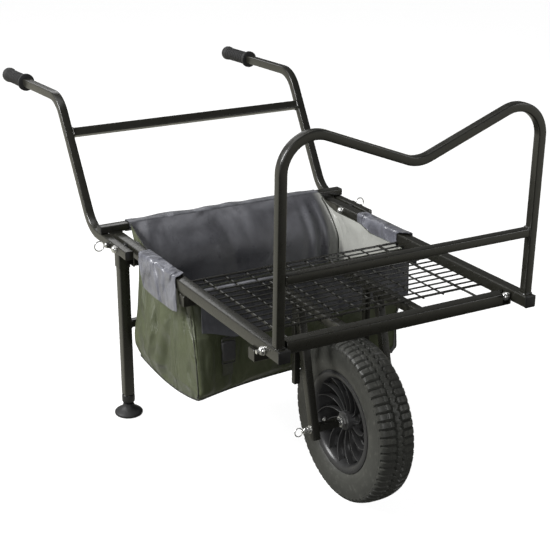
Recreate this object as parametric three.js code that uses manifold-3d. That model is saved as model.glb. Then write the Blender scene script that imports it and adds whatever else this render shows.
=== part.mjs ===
// A one-wheeled fishing trolley: a square-tube frame with a wire deck, a bent front rest bar, a folding fork
// with a pneumatic wheel, two folding handles, a pull-out pair of legs with swivel feet and a hanging cloth bag.
// Millimetres, +Z up, +Y towards the handles, -X the side seen first. The ground is at z = 0.
import * as THREE from "three";
import { mergeVertices } from "three/addons/utils/BufferGeometryUtils.js";
import Module from "manifold-3d";

const wasm = await Module();
wasm.setup();

// Driving dimensions of the frame
const frameWidth = 600;
const railLength = 813;
const deckRise = 117.4;
const tubeSide = 25;
const tubeWall = 1.5;
const tubeCorner = 2.5;
const barSide = 20;
const barCorner = 2.2;
const restGap = 0.3;
const cutOverrun = 5;
const weldTolerance = 0.0005;

// Front rest bar
const restSide = 18;
const restFrontY = 9;
const restLeanAngle = (-1.6 * Math.PI) / 180;
const restLegInset = 10.5;
const restDipRise = 314.5;
const restSlopeAngle = (21.2 * Math.PI) / 180;
const restHumpRadius = 66;
const restDipRadius = 70;
const restCrossRise = 125;

// Fork, its pivot and its tubes
const pivotY = 57;
const pivotDrop = 18;
const forkTubeSetback = 23;
const forkTubeOverhang = 5;
const bearerX = 91;
const bearerDrop = 20;
const bearerEndGap = 11;
const armOffset = 6.5;
const armSide = 18;
const armLeanAngle = (14.3 * Math.PI) / 180;
const armTail = 21;
const strutSide = 14;
const strutOffset = 3;
const strutSetback = 94;
const strutLength = 185;

// Wheel
const tyreRadius = 180.3;
const tyreWidth = 86;
const tyreSection = 72;
const wheelY = 206;
const axleRadius = 6;
const standAngle = (1.9 * Math.PI) / 180;

// Deck
const deckFrontY = 143;
const deckRearReach = 29.5;
const wireWidth = 3.6;
const borderWidth = 5;
const wirePitch = 25;
const lengthPitch = 50;
const hookWireInset = 49;

// Cross tubes at the middle and the rear
const midTubeFrontY = 402;
const rearBarOverhang = 26;
const rearBarHeight = 17;

// Legs and feet
const legAhead = 34;
const tieSide = 18;
const tieBottomZ = 245;
const footRadius = 34;
const ballRise = 40;
const cheekThick = 1.5;
const cheekGap = 0.4;

// Handles
const handleGap = 8;
const handleBoltAhead = 82;
const handleFrontReach = 58;
const lowBendReach = 55;
const lowBendRadius = 62;
const riserSpread = 3.5;
const riserRun = 174;
const riserRise = 274;
const highBendRadius = 62;
const gripLength = 143;
const gripSpread = 7;
const gripRun = 378;
const gripDrop = 10;
const handleCrossShare = 0.724;

// Bag
const bagClear = 0.5;
const bagFrontBehind = 3;
const bagBehindBolt = 7;
const bagBottomZ = 200;
const clothThick = 2;
const bagWall = 3;

// Places worked out from the sizes above
const railOuter = frameWidth / 2;
const railInner = railOuter - tubeSide;
const railX = railOuter - tubeSide / 2;
const railTop = 2 * tyreRadius + deckRise;
const railBottom = railTop - tubeSide;
const axleZ = tyreRadius;
const restLegX = railOuter - restLegInset;
const restDipVertexZ = railTop + restDipRise;
const restCrossBottomZ = railTop + restCrossRise;
const pivotZ = railTop - pivotDrop;
const forkTubeFrontY = pivotY + forkTubeSetback;
const armX = bearerX + armOffset;
const strutX = bearerX - strutOffset;
const strutY = wheelY + strutSetback;
const hookWireX = railInner - hookWireInset;
const deckRearY = midTubeFrontY + tubeSide + deckRearReach;
const rearBarFrontY = railLength - tubeSide;
const rearBarHalf = railOuter + rearBarOverhang;
const legFrontY = rearBarFrontY - legAhead;
const handleX = railOuter + handleGap + barSide / 2;
const handleBoltY = rearBarFrontY - handleBoltAhead;
const handleFrontY = handleBoltY - handleFrontReach;
const lowBendY = railLength + lowBendReach;
const highBendX = handleX + riserSpread;
const highBendY = lowBendY + riserRun;
const highBendZ = railTop + riserRise;
const gripEndX = handleX + gripSpread;
const gripEndY = highBendY + gripRun;
const gripEndZ = highBendZ - gripDrop;
const gripFlangeY = gripEndY - gripLength;
const bagFrontY = midTubeFrontY + bagFrontBehind;
const bagRearY = handleBoltY + bagBehindBolt;
const bearerEndY = bagFrontY - bearerEndGap;
const handleTop = railTop - restGap;
const handleZ = handleTop - barSide / 2;
const legY = legFrontY + tubeSide / 2;
const legRearY = legFrontY + tubeSide;
const ballRun = (legY - wheelY) * Math.tan(standAngle);
const ballZ = ballRun + (ballRise - tyreRadius * (1 - Math.cos(standAngle))) / Math.cos(standAngle);
const bagHalf = railInner - cheekGap - cheekThick - bagClear;

// Materials
const blackPaint = new THREE.MeshStandardMaterial({ color: 0x17171a, roughness: 0.32, metalness: 0.6 });
const blackPlastic = new THREE.MeshStandardMaterial({ color: 0x121212, roughness: 0.5, metalness: 0 });
const rubber = new THREE.MeshStandardMaterial({ color: 0x1b1b1b, roughness: 0.8, metalness: 0 });
const zinc = new THREE.MeshStandardMaterial({ color: 0xc8c8c8, roughness: 0.25, metalness: 1 });
const oliveCloth = new THREE.MeshStandardMaterial({ color: 0x4a4f34, roughness: 0.75, metalness: 0 });
const greyCloth = new THREE.MeshStandardMaterial({ color: 0x55565f, roughness: 0.5, metalness: 0 });

// A closed geometry as a solid with its faces turned out.
function solidOf(geometry) {
  const plain = geometry.clone();
  plain.deleteAttribute("normal");
  plain.deleteAttribute("uv");
  const merged = mergeVertices(plain, weldTolerance);
  const corners = merged.index.array;
  const kept = [];
  for (let i = 0; i < corners.length; i += 3) {
    const [a, b, c] = [corners[i], corners[i + 1], corners[i + 2]];
    if (a !== b && b !== c && c !== a) kept.push(a, b, c);
  }
  const build = (list) =>
    new wasm.Manifold(
      new wasm.Mesh({
        numProp: 3,
        vertProperties: new Float32Array(merged.attributes.position.array),
        triVerts: new Uint32Array(list),
      }),
    );
  const made = build(kept);
  if (made.volume() > 0) return made;
  const turned = [];
  for (let i = 0; i < kept.length; i += 3) turned.push(kept[i], kept[i + 2], kept[i + 1]);
  return build(turned);
}

// A solid back as a geometry with flat faces.
function geometryOf(solid) {
  const made = solid.getMesh();
  const places = new Float32Array(made.numVert * 3);
  for (let i = 0; i < made.numVert; i++) {
    for (let k = 0; k < 3; k++) places[3 * i + k] = made.vertProperties[made.numProp * i + k];
  }
  const indexed = new THREE.BufferGeometry();
  indexed.setAttribute("position", new THREE.BufferAttribute(places, 3));
  indexed.setIndex(new THREE.BufferAttribute(new Uint32Array(made.triVerts), 1));
  const geometry = indexed.toNonIndexed();
  geometry.computeVertexNormals();
  return geometry;
}

const mirrored = (solid) => solidOf(geometryOf(solid).scale(-1, 1, 1));

function joined(solids) {
  return solids.reduce((sum, next) => sum.add(next));
}

function cut(solid, tools) {
  return tools.reduce((rest, tool) => rest.subtract(tool), solid);
}

function addMesh(parent, name, solid, material) {
  const mesh = new THREE.Mesh(geometryOf(solid), material);
  mesh.name = name;
  parent.add(mesh);
  return mesh;
}

// The solid is drawn for the +X side, and its mirror image serves the -X side.
function addPair(parent, name, solid, material) {
  addMesh(parent, name + "_right", solid, material);
  addMesh(parent, name + "_left", mirrored(solid), material);
}

// Turns a geometry drawn along +Z so that it runs along the named axis.
function turnedTo(geometry, axis) {
  if (axis === "x") return geometry.rotateY(Math.PI / 2);
  if (axis === "y") return geometry.rotateX(-Math.PI / 2);
  return geometry;
}

function box(xs, ys, zs) {
  const geometry = new THREE.BoxGeometry(xs[1] - xs[0], ys[1] - ys[0], zs[1] - zs[0]);
  geometry.translate((xs[0] + xs[1]) / 2, (ys[0] + ys[1]) / 2, (zs[0] + zs[1]) / 2);
  return solidOf(geometry);
}

function roundedSquare(path, side, radius) {
  const h = side / 2;
  path.moveTo(-h + radius, -h);
  path.lineTo(h - radius, -h);
  path.absarc(h - radius, -h + radius, radius, -Math.PI / 2, 0, false);
  path.lineTo(h, h - radius);
  path.absarc(h - radius, h - radius, radius, 0, Math.PI / 2, false);
  path.lineTo(-h + radius, h);
  path.absarc(-h + radius, h - radius, radius, Math.PI / 2, Math.PI, false);
  path.lineTo(-h, -h + radius);
  path.absarc(-h + radius, -h + radius, radius, Math.PI, 1.5 * Math.PI, false);
  return path;
}

function plainSquare(path, side) {
  const h = side / 2;
  path.moveTo(-h, -h);
  path.lineTo(-h, h);
  path.lineTo(h, h);
  path.lineTo(h, -h);
  path.lineTo(-h, -h);
  return path;
}

function tubeShape(side, corner) {
  const shape = roundedSquare(new THREE.Shape(), side, corner);
  shape.holes.push(plainSquare(new THREE.Path(), side - 2 * tubeWall));
  return shape;
}

const cornerSteps = 1;

// A straight square tube along an axis, from one end to the other, about a centre line.
function straightTube(axis, side, corner, from, to, centre) {
  const options = { depth: to - from, bevelEnabled: false, curveSegments: cornerSteps };
  const geometry = turnedTo(new THREE.ExtrudeGeometry(tubeShape(side, corner), options), axis);
  if (axis === "x") geometry.translate(from, centre[0], centre[1]);
  if (axis === "y") geometry.translate(centre[0], from, centre[1]);
  if (axis === "z") geometry.translate(centre[0], centre[1], from);
  return solidOf(geometry);
}

// A turned piece: pairs of radius and distance along the named axis, measured from a point.
function turnedPiece(profile, axis, at, segments, closed = false) {
  const points = profile.map(([radius, along]) => new THREE.Vector2(radius, along));
  if (closed) points.push(points[0].clone());
  const geometry = new THREE.LatheGeometry(points, segments);
  if (axis === "x") geometry.rotateZ(-Math.PI / 2);
  if (axis === "z") geometry.rotateX(Math.PI / 2);
  geometry.translate(at[0], at[1], at[2]);
  return solidOf(geometry);
}

function rod(axis, radius, from, to, at, segments) {
  const place = [at[0], at[1], at[2]];
  place["xyz".indexOf(axis)] = from;
  const reach = to - from;
  return turnedPiece([[0, 0], [radius, 0], [radius, reach], [0, reach]], axis, place, segments);
}

// A flat plate: an outline in the YZ plane, drawn as pairs, from one x to another.
function plateX(outline, from, to) {
  const shape = new THREE.Shape(outline.map(([y, z]) => new THREE.Vector2(y, z)));
  const geometry = new THREE.ExtrudeGeometry(shape, { depth: to - from, bevelEnabled: false });
  const basis = new THREE.Matrix4();
  basis.makeBasis(new THREE.Vector3(0, 1, 0), new THREE.Vector3(0, 0, 1), new THREE.Vector3(1, 0, 0));
  return solidOf(geometry.applyMatrix4(basis).translate(from, 0, 0));
}

// A path through stations, met one by one at even steps of its parameter.
class StationPath extends THREE.Curve {
  constructor(stations) {
    super();
    this.stations = stations;
  }
  getPoint(t, target = new THREE.Vector3()) {
    const last = this.stations.length - 1;
    const at = Math.min(Math.max(t, 0), 1) * last;
    const i = Math.min(Math.floor(at + weldTolerance), last - 1);
    return target.copy(this.stations[i]).lerp(this.stations[i + 1], Math.max(at - i, 0));
  }
  getPointAt(u, target) {
    return this.getPoint(u, target);
  }
  getTangentAt(u) {
    const last = this.stations.length - 1;
    const i = Math.round(u * last);
    const before = this.stations[Math.max(i - 1, 0)];
    const here = this.stations[i];
    const after = this.stations[Math.min(i + 1, last)];
    const into = here.clone().sub(before).normalize();
    const away = after.clone().sub(here).normalize();
    return into.add(away).normalize();
  }
}

const bendStep = (15 * Math.PI) / 180;

// Stations of a bent bar: straight runs between corners, each corner rounded to its own radius.
function bentStations(corners, radii) {
  const stations = [corners[0].clone()];
  for (let i = 1; i < corners.length - 1; i++) {
    const into = corners[i].clone().sub(corners[i - 1]).normalize();
    const away = corners[i + 1].clone().sub(corners[i]).normalize();
    const turn = into.angleTo(away);
    const reach = radii[i - 1] * Math.tan(turn / 2);
    const start = corners[i].clone().addScaledVector(into, -reach);
    const inward = away.clone().addScaledVector(into, -away.dot(into)).normalize();
    const centre = start.clone().addScaledVector(inward, radii[i - 1]);
    const steps = Math.max(2, Math.ceil(turn / bendStep));
    for (let k = 0; k <= steps; k++) {
      const angle = (turn * k) / steps;
      const spoke = inward.clone().multiplyScalar(-Math.cos(angle)).addScaledVector(into, Math.sin(angle));
      stations.push(centre.clone().addScaledVector(spoke, radii[i - 1]));
    }
  }
  stations.push(corners[corners.length - 1].clone());
  return stations;
}

function sweep(shape, stations) {
  const options = {
    steps: stations.length - 1,
    curveSegments: cornerSteps,
    extrudePath: new StationPath(stations),
  };
  return solidOf(new THREE.ExtrudeGeometry(shape, options));
}

const v3 = (x, y, z) => new THREE.Vector3(x, y, z);

// Fasteners
const boltRadius = 4;
const boltBore = boltRadius + restGap;
const domeRadius = 8;
const domeHeight = 9;
const washerRadius = 10;
const washerThick = 2;
const fastenerSides = 12;
const domeShares = [[0, 1], [0.6, 0.83], [1, 0.25]];

// A bolt along X with a domed head on a washer at each end, seated at two faces.
function domedBolt(innerFace, outerFace, y, z) {
  const dome = domeShares.map(([r, h]) => [r * domeRadius, h * domeHeight + washerThick]);
  const outer = dome.map(([r, h]) => [r, outerFace + h]);
  const inner = dome.map(([r, h]) => [r, innerFace - h]).reverse();
  const profile = [
    ...outer,
    [domeRadius, outerFace + washerThick],
    [washerRadius, outerFace + washerThick],
    [washerRadius, outerFace],
    [boltRadius, outerFace],
    [boltRadius, innerFace],
    [washerRadius, innerFace],
    [washerRadius, innerFace - washerThick],
    [domeRadius, innerFace - washerThick],
    ...inner,
  ];
  return turnedPiece(profile, "x", [0, y, z], fastenerSides);
}

function boreX(radius, from, to, y, z) {
  return rod("x", radius, from, to, [0, y, z], fastenerSides);
}

// Side rails with bolt holes, and their plastic end plugs.
function sideRail() {
  const rail = straightTube("y", tubeSide, tubeCorner, 0, railLength, [railX, railTop - tubeSide / 2]);
  const from = railInner - cutOverrun;
  const to = railOuter + cutOverrun;
  return cut(rail, [
    boreX(boltBore, from, to, pivotY, pivotZ),
    boreX(boltBore, from, to, handleBoltY, handleZ),
  ]);
}

const plugDepth = 16;
const capThick = 3;
const capLip = 1;

// A plastic cap on a tube end: a lipped flange and a plug that fills the bore, drawn pointing along +Y.
function endCap(side, x, y, z) {
  const half = side / 2 + capLip;
  const plug = side / 2 - tubeWall - restGap;
  const options = { depth: capThick, bevelEnabled: false, curveSegments: cornerSteps };
  const flangeShape = roundedSquare(new THREE.Shape(), 2 * half, tubeCorner);
  const flange = turnedTo(new THREE.ExtrudeGeometry(flangeShape, options), "y");
  const flangeSolid = solidOf(flange.translate(x, y - capThick - restGap, z));
  return flangeSolid.add(box([x - plug, x + plug], [y - capThick / 2 - restGap, y + plugDepth], [z - plug, z + plug]));
}

// The front rest: legs on the rails, two humps and a dip in the middle, and a straight cross tube.
const restY = (z) => restFrontY + restSide / 2 + (z - railTop) * Math.tan(restLeanAngle);

function restStations() {
  const cornerZ = restDipVertexZ + restLegX * Math.tan(restSlopeAngle);
  const foot = railTop + restGap;
  const corners = [
    v3(-restLegX, restY(foot), foot),
    v3(-restLegX, restY(cornerZ), cornerZ),
    v3(0, restY(restDipVertexZ), restDipVertexZ),
    v3(restLegX, restY(cornerZ), cornerZ),
    v3(restLegX, restY(foot), foot),
  ];
  return bentStations(corners, [restHumpRadius, restDipRadius, restHumpRadius]);
}

function restCross() {
  const half = restLegX - restSide / 2 - restGap;
  const z = restCrossBottomZ + restSide / 2;
  const centre = [restY(z), z];
  return straightTube("x", restSide, barCorner, -half, half, centre);
}

// The fork crossbar between the rails, with an end lug on each side that takes the pivot bolt and reaches
// back onto the cross tube under the rails. A notch beside each lug leaves room for the nut.
const lugThick = 3;
const notchWidth = 17;
const lugTailDrop = 8;

function forkCrossbar() {
  const outer = railInner - 2 * restGap;
  const inner = outer - lugThick;
  const half = tubeSide / 2;
  const tube = straightTube("x", tubeSide, tubeCorner, -outer, outer, [pivotY, pivotZ]);
  const lugOutline = [
    [pivotY - half, pivotZ - half],
    [pivotY + half, pivotZ - half],
    [pivotY + half, railBottom],
    [forkTubeFrontY + tubeSide, railBottom],
    [forkTubeFrontY + tubeSide, pivotZ],
    [pivotY + half, pivotZ + half - lugTailDrop / 2],
    [pivotY + half, pivotZ + half],
    [pivotY - half, pivotZ + half],
  ];
  const lug = plateX(lugOutline, inner, outer);
  const notchX = [inner - notchWidth, inner];
  const notch = box(
    notchX,
    [pivotY - half - cutOverrun, pivotY + half - tubeWall],
    [pivotZ - half + tubeWall, pivotZ + half + cutOverrun],
  );
  const bore = boreX(boltBore, inner - cutOverrun, outer + cutOverrun, pivotY, pivotZ);
  return cut(joined([tube, lug, mirrored(lug)]), [notch, mirrored(notch), bore, mirrored(bore)]);
}

// The cross tube that bears up against both rails and stops the fork.
function forkTube() {
  const half = railOuter + forkTubeOverhang;
  const centre = [forkTubeFrontY + tubeSide / 2, railBottom - restGap - tubeSide / 2];
  return straightTube("x", tubeSide, tubeCorner, -half, half, centre);
}

function bearer() {
  const z = railBottom - bearerDrop / 2 - wireWidth / 2;
  return straightTube("y", barSide, barCorner, forkTubeFrontY + tubeSide + restGap, bearerEndY, [bearerX, z]);
}

const bearerBottom = railBottom - bearerDrop / 2 - wireWidth / 2 - barSide / 2 - restGap;
const strutBottomZ = bearerBottom - strutLength;

// A leaning fork arm: its middle line passes through the axle, and its top is cut level under the bearer.
function armPlate(margin, from, to, bottomCut, topZ) {
  const lean = Math.tan(armLeanAngle);
  const halfY = (armSide / 2 - margin) / Math.cos(armLeanAngle);
  const bottomZ = axleZ - armTail - bottomCut;
  const middle = (z) => wheelY + lean * (z - axleZ);
  return plateX(
    [
      [middle(bottomZ) - halfY, bottomZ],
      [middle(bottomZ) + halfY, bottomZ],
      [middle(topZ) + halfY, topZ],
      [middle(topZ) - halfY, topZ],
    ],
    from,
    to,
  );
}

function forkArm() {
  const inner = armX - armSide / 2;
  const outer = armX + armSide / 2;
  const hollow = armPlate(tubeWall, inner + tubeWall, outer - tubeWall, cutOverrun, bearerBottom - tubeWall);
  const bore = boreX(axleRadius + restGap, inner - cutOverrun, outer + cutOverrun, wheelY, axleZ);
  return cut(armPlate(0, inner, outer, 0, bearerBottom), [hollow, bore]);
}

function strut() {
  return straightTube("z", strutSide, barCorner, strutBottomZ, bearerBottom, [strutX, strutY]);
}

// Axle, spacers and the quick pin on the -X end
const axleNutHeight = 9;
const axleNutRadius = 10;
const axleStub = 2;
const pinShaftRadius = 3.2;
const pinReach = 25;
const pinBodyRadius = 6.5;
const pinBodyLength = 15;
const pinNeckLength = 3.5;
const pinRingRadius = 9;
const pinRingWire = 1.3;
const spacerSide = 16;
const hubReach = 40;

function axle() {
  const outer = armX + armSide / 2;
  const left = -outer - axleStub;
  const profile = [
    [0, outer + axleNutHeight],
    [axleNutRadius / 2, outer + axleNutHeight],
    [axleNutRadius, outer + axleNutHeight / 2],
    [axleNutRadius, outer + restGap],
    [axleRadius, outer + restGap],
    [axleRadius, left],
    [pinShaftRadius + restGap, left],
    [pinShaftRadius + restGap, left + pinReach + axleStub],
    [0, left + pinReach + axleStub],
  ];
  return turnedPiece(profile, "x", [0, wheelY, axleZ], fastenerSides);
}

function axlePin() {
  const left = -armX - armSide / 2 - axleStub - restGap;
  const bodyEnd = left - pinBodyLength;
  const neckEnd = bodyEnd - pinNeckLength;
  const profile = [
    [0, left + pinReach],
    [pinShaftRadius, left + pinReach],
    [pinShaftRadius, left],
    [pinBodyRadius, left],
    [pinBodyRadius, bodyEnd],
    [pinShaftRadius, bodyEnd],
    [pinShaftRadius, neckEnd],
    [0, neckEnd],
  ];
  const pin = turnedPiece(profile, "x", [0, wheelY, axleZ], fastenerSides);
  const ring = new THREE.TorusGeometry(pinRingRadius, pinRingWire, 5, 16);
  ring.translate(neckEnd - pinRingRadius + pinRingWire, wheelY, axleZ);
  return pin.add(solidOf(ring));
}

function hubSpacer() {
  const from = hubReach + restGap;
  const to = armX - armSide / 2 - restGap;
  const block = box(
    [from, to],
    [wheelY - spacerSide / 2, wheelY + spacerSide / 2],
    [axleZ - spacerSide / 2, axleZ + spacerSide / 2],
  );
  return block.subtract(boreX(axleRadius + restGap, from - cutOverrun, to + cutOverrun, wheelY, axleZ));
}

// The wheel, drawn about its own centre with its axle along X.
const wheelSegments = 48;
const blockCount = 24;
const treadDepth = 5;
const notchSpan = 6;
const tyreOuterShares = [
  [0.8, 0], [0.93, 0.13], [0.99, 0.32], [1, 0.52], [0.98, 0.72], [0.94, 0.84], [0.9, 0.9],
  [0.78, 0.96], [0.46, 0.99], [0.1, 1], [0.07, 0.94],
];
const tyreInnerShares = [[0.5, 0.87], [0.84, 0.72], [0.9, 0.45], [0.84, 0.16], [0.7, 0]];
const notchStartShare = 0.5;

function tyre() {
  const half = tyreWidth / 2;
  const beadRadius = tyreRadius - tyreSection;
  const point = ([w, h]) => [beadRadius + h * tyreSection, w * half];
  const outer = tyreOuterShares.map(point);
  const inner = tyreInnerShares.map(point);
  const flip = (list) => list.map(([r, x]) => [r, -x]).reverse();
  const profile = [...outer, ...flip(outer), ...flip(inner), ...inner];
  const ring = turnedPiece(profile, "x", [0, 0, 0], wheelSegments, true);
  const tools = [];
  for (let i = 0; i < blockCount; i++) {
    const angle = ((i + 0.25) * 2 * Math.PI) / blockCount;
    for (const side of [-1, 1]) {
      const notch = new THREE.BoxGeometry(half, notchSpan, 2 * treadDepth);
      notch.translate(side * (notchStartShare * half + half / 2), 0, tyreRadius);
      notch.rotateX(angle + (side * Math.PI) / (2 * blockCount));
      tools.push(solidOf(notch));
    }
  }
  return cut(ring, tools);
}

const rimHalf = 35.6;
const rimDepth = 14.8;
const rimInnerRadius = tyreRadius - tyreSection - rimDepth;
const rimWall = 4;
const hubRadius = 21;
const hubHalf = 24;
const hubDiscRadius = 33;
const hubDiscThick = 12;
const bushRadius = 9;
const spokeCount = 14;
const spokeThick = 3.6;
const spokeDepth = 22;
const spokeSweepAngle = (26 * Math.PI) / 180;
const spokeSteps = 4;

// One curved rib from the hub out into the barrel of the rim, in the plane of the wheel.
function rimSpoke(angle) {
  const from = hubRadius - spokeThick;
  const to = rimInnerRadius + rimWall / 2;
  const edge = (side) => {
    const points = [];
    for (let k = 0; k <= spokeSteps; k++) {
      const t = k / spokeSteps;
      const radius = from + (to - from) * t;
      const at = angle + spokeSweepAngle * t * t + (side * spokeThick) / (2 * radius);
      points.push([radius * Math.sin(at), radius * Math.cos(at)]);
    }
    return points;
  };
  return plateX([...edge(1), ...edge(-1).reverse()], -spokeDepth / 2, spokeDepth / 2);
}

function rim() {
  const bead = tyreRadius - tyreSection - restGap;
  const seat = 0.7 * (tyreWidth / 2) - restGap;
  const barrelProfile = [
    [bead, seat],
    [bead, -seat],
    [bead, -rimHalf],
    [rimInnerRadius + rimWall, -rimHalf],
    [rimInnerRadius, -rimHalf + 2 * rimWall],
    [rimInnerRadius, rimHalf - 2 * rimWall],
    [rimInnerRadius + rimWall, rimHalf],
    [bead, rimHalf],
  ];
  const barrel = turnedPiece(barrelProfile, "x", [0, 0, 0], wheelSegments, true);
  const hub = rod("x", hubRadius, -hubHalf, hubHalf, [0, 0, 0], 20);
  const disc = rod("x", hubDiscRadius, -hubDiscThick / 2, hubDiscThick / 2, [0, 0, 0], 20);
  const spokes = [];
  for (let i = 0; i < spokeCount; i++) spokes.push(rimSpoke((i * 2 * Math.PI) / spokeCount));
  const bore = boreX(bushRadius + restGap, -hubHalf - cutOverrun, hubHalf + cutOverrun, 0, 0);
  return joined([barrel, hub, disc, ...spokes]).subtract(bore);
}

// The steel bush through the hub, with a hexagonal nut against each hub face.
const hubNutRadius = 13;
const hubNutThick = 9;

function hubBush() {
  const profile = [
    [axleRadius + restGap, -hubReach],
    [bushRadius, -hubReach],
    [bushRadius, hubReach],
    [axleRadius + restGap, hubReach],
  ];
  const bush = turnedPiece(profile, "x", [0, 0, 0], 18, true);
  const nutFrom = hubHalf + restGap;
  const nutProfile = [
    [bushRadius - tubeWall, nutFrom],
    [hubNutRadius, nutFrom],
    [hubNutRadius, nutFrom + hubNutThick],
    [bushRadius - tubeWall, nutFrom + hubNutThick],
  ];
  const nut = turnedPiece(nutProfile, "x", [0, 0, 0], 6, true);
  return joined([bush, nut, mirrored(nut)]);
}

// The valve stem stands on the inner face of the barrel and points at the hub, leaning out to -X.
const valveRadius = 3;
const valveCapRadius = 4;
const valveLength = 30;
const valveAngle = (112 * Math.PI) / 180;
const valveLean = (35 * Math.PI) / 180;

function valveStem() {
  const profile = [
    [0, 0],
    [valveRadius + tubeWall, 0],
    [valveRadius, valveLength / 4],
    [valveRadius, valveLength / 2],
    [valveCapRadius, valveLength / 2],
    [valveCapRadius, valveLength - valveRadius],
    [valveRadius, valveLength],
    [0, valveLength],
  ];
  const points = profile.map(([r, along]) => new THREE.Vector2(r, along));
  const geometry = new THREE.LatheGeometry(points, 10);
  geometry.rotateX(-Math.PI / 2);
  geometry.rotateY(valveLean);
  const seat = (valveRadius + tubeWall) * Math.sin(valveLean);
  geometry.translate(-rimHalf / 2, 0, rimInnerRadius * Math.cos(Math.PI / wheelSegments) - restGap - seat);
  geometry.rotateX(-valveAngle);
  return solidOf(geometry);
}

// The wire deck: cross wires over lengthwise wires, with a border wire at the front and the rear.
function squareWire(axis, width, from, to, a, b) {
  const h = width / 2;
  if (axis === "x") return box([from, to], [a - h, a + h], [b - h, b + h]);
  return box([a - h, a + h], [from, to], [b - h, b + h]);
}

function wireDeck() {
  const half = railInner - restGap;
  const lowZ = railBottom + wireWidth / 2 - wireWidth;
  const highZ = lowZ + wireWidth * 0.8;
  const lowerZ = lowZ + wireWidth;
  const wires = [];
  const spanCount = Math.round((deckRearY - deckFrontY) / wirePitch);
  const pitch = (deckRearY - deckFrontY) / spanCount;
  for (let i = 0; i <= spanCount; i++) {
    const width = i === 0 || i === spanCount ? borderWidth : wireWidth;
    wires.push(squareWire("x", width, -half, half, deckFrontY + i * pitch, lowerZ + wireWidth * 0.8));
  }
  const sideCount = Math.floor((half - lengthPitch / 2) / lengthPitch);
  for (let i = 0; i < sideCount; i++) {
    const x = lengthPitch / 2 + i * lengthPitch;
    for (const side of [-1, 1]) {
      wires.push(squareWire("y", wireWidth, deckFrontY - wireWidth, deckRearY + wireWidth / 2, side * x, lowerZ));
    }
  }
  for (const side of [-1, 1]) {
    const front = pivotY + tubeSide;
    const z = lowerZ + (borderWidth - wireWidth) / 2;
    wires.push(squareWire("y", borderWidth, front, deckRearY + wireWidth / 2, side * hookWireX, z));
  }
  return joined(wires);
}

// Cross tubes and the rear bar with its plastic caps
// The mid tube lies under the rails on a pad at each end, low enough for the cloth to pass between it and the deck.
const collarGap = 0.5;
const midTubeDrop = clothThick + 2 * collarGap;
const midTubeTopZ = railBottom - midTubeDrop;
const midPadInset = 2;

function midTube() {
  const centre = [midTubeFrontY + tubeSide / 2, midTubeTopZ - tubeSide / 2];
  const tube = straightTube("x", tubeSide, tubeCorner, -railOuter, railOuter, centre);
  const padY = [midTubeFrontY + tubeCorner, midTubeFrontY + tubeSide - tubeCorner];
  const padZ = [midTubeTopZ - tubeWall / 2, railBottom - restGap];
  const pads = [-1, 1].map((side) => {
    const xs = [side * (railInner + midPadInset), side * (railOuter - midPadInset)].sort((a, b) => a - b);
    return box(xs, padY, padZ);
  });
  return joined([tube, ...pads]);
}

// The rear bar is a flat tube: its height is less than its depth.
function rearBarShape(margin) {
  const halfY = tubeSide / 2 - margin;
  const halfZ = rearBarHeight / 2 - margin;
  const bevel = margin > 0 ? 0 : tubeCorner / 2;
  return [
    [-halfY + bevel, -halfZ],
    [halfY - bevel, -halfZ],
    [halfY, -halfZ + bevel],
    [halfY, halfZ - bevel],
    [halfY - bevel, halfZ],
    [-halfY + bevel, halfZ],
    [-halfY, halfZ - bevel],
    [-halfY, -halfZ + bevel],
  ].map(([y, z]) => [rearBarFrontY + tubeSide / 2 + y, railTop + restGap + rearBarHeight / 2 + z]);
}

function squareOnly(outline) {
  return [outline[0], outline[2], outline[4], outline[6]];
}

function rearBar() {
  const outer = plateX(rearBarShape(0), -rearBarHalf, rearBarHalf);
  const reach = rearBarHalf + cutOverrun;
  return outer.subtract(plateX(squareOnly(rearBarShape(tubeWall)), -reach, reach));
}

function rearBarCap() {
  const plug = squareOnly(rearBarShape(tubeWall + restGap));
  const from = rearBarHalf + restGap;
  const flange = plateX(rearBarShape(0), from, from + capThick);
  return flange.add(plateX(plug, rearBarHalf - plugDepth, from + capThick / 2));
}

// The leg sleeve: a square socket welded under the rail, open below, with a boss for the clamp bolt behind.
const sleeveDrop = 78;
const clampDrop = 50;
const sleeveBottomZ = railTop - sleeveDrop;
const clampZ = railTop - clampDrop;
const clampRadius = 4;
const bossRadius = 7.5;
const bossLength = 12;

function legSleeve() {
  const bore = tubeSide / 2 + cheekGap;
  const half = bore + cheekThick;
  const topZ = railBottom - restGap;
  const rearY = legY + half;
  const outer = box([railX - half, railX + half], [legY - half, rearY], [sleeveBottomZ, topZ]);
  const boss = rod("y", bossRadius, rearY - cheekThick / 2, rearY + bossLength, [railX, 0, clampZ], 14);
  const socketZ = [sleeveBottomZ - cutOverrun, topZ + cutOverrun];
  const socket = box([railX - bore, railX + bore], [legY - bore, legY + bore], socketZ);
  const boreTo = rearY + bossLength + cutOverrun;
  const clampBore = rod("y", clampRadius + restGap, legY, boreTo, [railX, 0, clampZ], 14);
  return cut(outer.add(boss), [socket, clampBore]);
}

// The clamp bolt that holds a leg in its sleeve: a round head and a shank that ends at the leg.
const clampHeadRadius = 8;
const clampHeadLength = 7;

function legClamp() {
  const headFrom = legRearY + cheekGap + cheekThick + bossLength + restGap;
  const profile = [
    [0, legRearY + restGap],
    [clampRadius, legRearY + restGap],
    [clampRadius, headFrom],
    [clampHeadRadius, headFrom],
    [clampHeadRadius, headFrom + clampHeadLength * 0.8],
    [clampHeadRadius * 0.8, headFrom + clampHeadLength],
    [0, headFrom + clampHeadLength],
  ];
  return turnedPiece(profile, "y", [railX, 0, clampZ], 14);
}

// The cross tube between the sleeves, level with their middle.
const rearTubeDrop = 45;
const rearTubeAhead = 22;
const rearTubeTopZ = railTop - rearTubeDrop;
const rearTubeFrontY = legFrontY - rearTubeAhead;

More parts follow.
